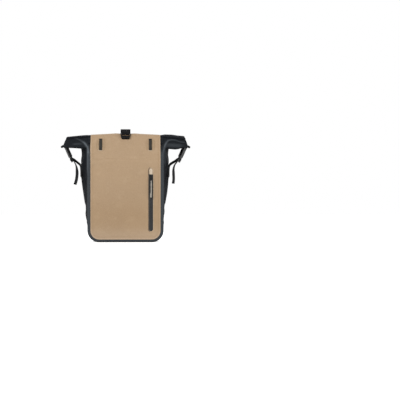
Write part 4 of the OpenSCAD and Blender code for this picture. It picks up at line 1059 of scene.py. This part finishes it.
def askew(k, points, share=1.0):
    """Points turned about the buckle's long axis by SWING degrees times share, its outer face towards the front:
    a cos + b sin along its thickness and b cos - a sin along its width. Also the turned direction of its width."""
    turn = math.radians(SWING[k]) * (share + 0 * points[:, :1])
    thick, wide = np.array([k * math.cos(BUCKLE_A), 0, -math.sin(BUCKLE_A)]), np.array([0, 1.0, 0])
    from_axis = points - np.array([k * TAB[0], BUCKLE_Y, TAB[1]])
    a, b = (from_axis @ thick)[:, None], (from_axis @ wide)[:, None]
    c, s = np.cos(turn), np.sin(turn)
    return points + (a * (c - 1) + b * s) * thick + (b * (c - 1) - a * s) * wide, wide * c + thick * s


for hand_name, k in (("left", -1), ("right", 1)):
    for half_name, width in (("male", 0.9), ("female", 1.3)):
        eased(f"{hand_name}_buckle_{half_name}", width, black_plastic,
              hang=lambda points: askew(k, points)[0])
    path = [(ROLL_HALF + 0.4, TAB[1] + 10), (ROLL_HALF + 4, TAB[1] + 9.4)] + [hung(p) for p in (
        (0, 4.8), (4.6, 4.4), (8.6, 3.4), (10.9, 2.5), (11.4, 1), (9.6, 0.2), (7.2, 0), (5, -1.5),
        (2.6, -2.5), (0.8, -2.62), (-0.9, -2.5), (-2.2, -1.5), (-2.7, 0.2))]
    curve = smooth_path([(k * x, BUCKLE_Y, z) for x, z in path], STRETCH)
    nub = hump(np.linspace(0, 1, len(curve)), 0.4, 0.16)
    curve, across = askew(k, curve, ease((TAB[1] + 12 - curve[:, 2:]) / 9))
    tab = ribbon(f"{hand_name}_tab_web", curve, across, WEB_W, 1.9, black_webbing, twist=k * 13 * nub)
    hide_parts(f"{hand_name}_wing_tab")
    sewn_x = abs(float(on_gusset(k, np.array([BUCKLE_Y]), np.array([PATCH_Z]))[0])) + 2.0
    path = [(sewn_x, PATCH_Z - 10), (sewn_x + 0.5, PATCH_Z + 10), (sewn_x + 1.4, PATCH_Z + 20),
            (sewn_x + 4, PATCH_Z + 27), (sewn_x + 10, PATCH_Z + 32)]
    path += [hung((p[0], p[1] + END_BAR)) for p in (
        (-8, 0.6), (-5.8, 6.6), (-2.6, 11), (1.4, 11.8), (3.2, 10.8), (3.75, 8), (3.2, 5.4), (1.4, 4.6),
        (-2.6, 4.5), (-4.2, 3.2), (-4.7, 1))] + TAILS[k]
    curve = smooth_path([(k * x, BUCKLE_Y, z) for x, z in path], STRETCH)
    s = np.linspace(0, 1, len(curve))
    mark = np.arange(len(curve)) / STRETCH
    curve, across = askew(k, curve, np.interp(mark, (2, 5.5, 15, 18), (0, 1, 1, 0))[:, None])
    turned = k * ((24 if k > 0 else 27) * ease((s - 0.76) / 0.14)
                  + np.interp(mark, (2, 3.5, 5, 6.5), (-15, -15, -9 if k > 0 else -12, 0)))
    # the strap proper is left on no body; its tail, from between the ladder's bars on, moves whole
    cut = LADDER_MARK * STRETCH
    strap = ribbon(f"{hand_name}_strap_web", curve[:cut + 1], across[:cut + 1], WEB_W, 1.5, black_webbing,
                   body=None, twist=turned[:cut + 1])
    tail = ribbon(f"{hand_name}_tail_web", curve[cut:], across[cut:], WEB_W, 1.5, black_webbing,
                  body=f"{hand_name}_female", twist=turned[cut:])
    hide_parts(f"{hand_name}_side_strap")
    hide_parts(f"{hand_name}_side_strap")
    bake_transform(strap)
    r = np.concatenate([np.linspace(0, 0.85, 12), [0.9, 0.94, 0.97, 0.99, 1.0]])[:, None]
    a = k * np.linspace(0, 2 * np.pi, 73)[:-1][None, :]
    patch_y = BUCKLE_Y + PATCH_SIZE[0] / 2 * r * squared(np.cos(a), 0.4)
    patch_z = PATCH_Z + PATCH_SIZE[1] / 2 * r * squared(np.sin(a), 0.4)
    patch_x = on_gusset(k, patch_y, patch_z) + k * (0.95 * (1 - r ** 14) - 0.3 * r ** 30)
    patch = surface(f"{hand_name}_patch_web", np.stack([patch_x, patch_y, patch_z], axis=-1), black_webbing,
                    wrap=(False, True))
    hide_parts(f"{hand_name}_strap_patch")
    corners = [(-7.5, -8), (7.5, -8), (7.5, 6), (-7.5, 6), (-7.5, -8), (7.5, 6)]
    stitches(f"{hand_name}_strap_box",
             [(k * (sewn_x + 0.85 + 0.27 * y), BUCKLE_Y + y, PATCH_Z + z) for y, z in corners],
             (0, 0.71, 0.71), 2.4, 0.9, 0.8)


# ---------- rack fittings ----------
# A moulded rail is screwed through the back to the board inside. It carries two hooks with soft liners and
# sprung latches; a lower hook slides and turns on its own track.

def metal(name, colour):
    """Bright zinc-plated steel: brushed one way, with cloudy roughness."""
    material, nodes, links = new_material(name)
    tree = material.node_tree
    shader = nodes["shader"]
    place = nodes.new("ShaderNodeTexCoord")
    stretch = nodes.new("ShaderNodeMapping")
    stretch.inputs["Scale"].default_value = (1.0, 0.12, 1.0)
    links.new(place.outputs["Object"], stretch.inputs["Vector"])
    cloudy = mottled(tree, stretch.outputs[0], 120.0, 4200.0)
    dark = tuple(c * 0.6 for c in colour)
    links.new(mix_colour(tree, scaled(tree, cloudy.outputs["Flecks"], 0.3, 0.7, 0.0, 0.6), colour, dark),
              shader.inputs["Base Color"])
    links.new(scaled(tree, cloudy.outputs["Patches"], 0.3, 0.7, 0.24, 0.4), shader.inputs["Roughness"])
    shader.inputs["Metallic"].default_value = 1.0
    emboss(tree, shader, cloudy.outputs["Flecks"], 0.2, 0.00005)
    return material


steel = metal("zinc_steel", (0.62, 0.62, 0.64))
liner_rubber = plastic("liner_rubber", (0.018, 0.018, 0.019), (0.04, 0.04, 0.042), rough=(0.6, 0.75),
                       specular=0.25)
board_plastic = plastic("board_plastic", (0.022, 0.022, 0.024), (0.05, 0.05, 0.052), rough=(0.5, 0.62))
lining = plastic("pocket_lining", (0.16, 0.165, 0.17), (0.25, 0.255, 0.26), rough=(0.7, 0.85), grain=3200.0)
eased("top_rail", 0.8, nylon)
eased("lower_track", 0.7, nylon)
for hand_name in ("left", "right"):
    eased(f"{hand_name}_hook", 0.9, nylon)
    eased(f"{hand_name}_latch", 0.6, black_plastic)
    eased(f"{hand_name}_hook_liner", 0.4, liner_rubber)
eased("lower_hook", 0.9, black_plastic)


def dress(material, *nodes):
    """Gives drawn parts that stay as they are their material."""
    for node in nodes:
        for place in frame["nodes"][node].material_slots:
            place.material = material


dress(steel, "top_hook_pin", "rail_screws", "rail_nuts", "left_hook_screws", "right_hook_screws",
      "left_latch_pin", "right_latch_pin", "left_latch_spring", "right_latch_spring", "track_screws",
      "track_nuts", "lower_slider", "lower_hook_screw")
dress(board_plastic, "mouth_battens", "back_board")
dress(lining, "front_pocket")
dress(zip_black, "zip_coil")
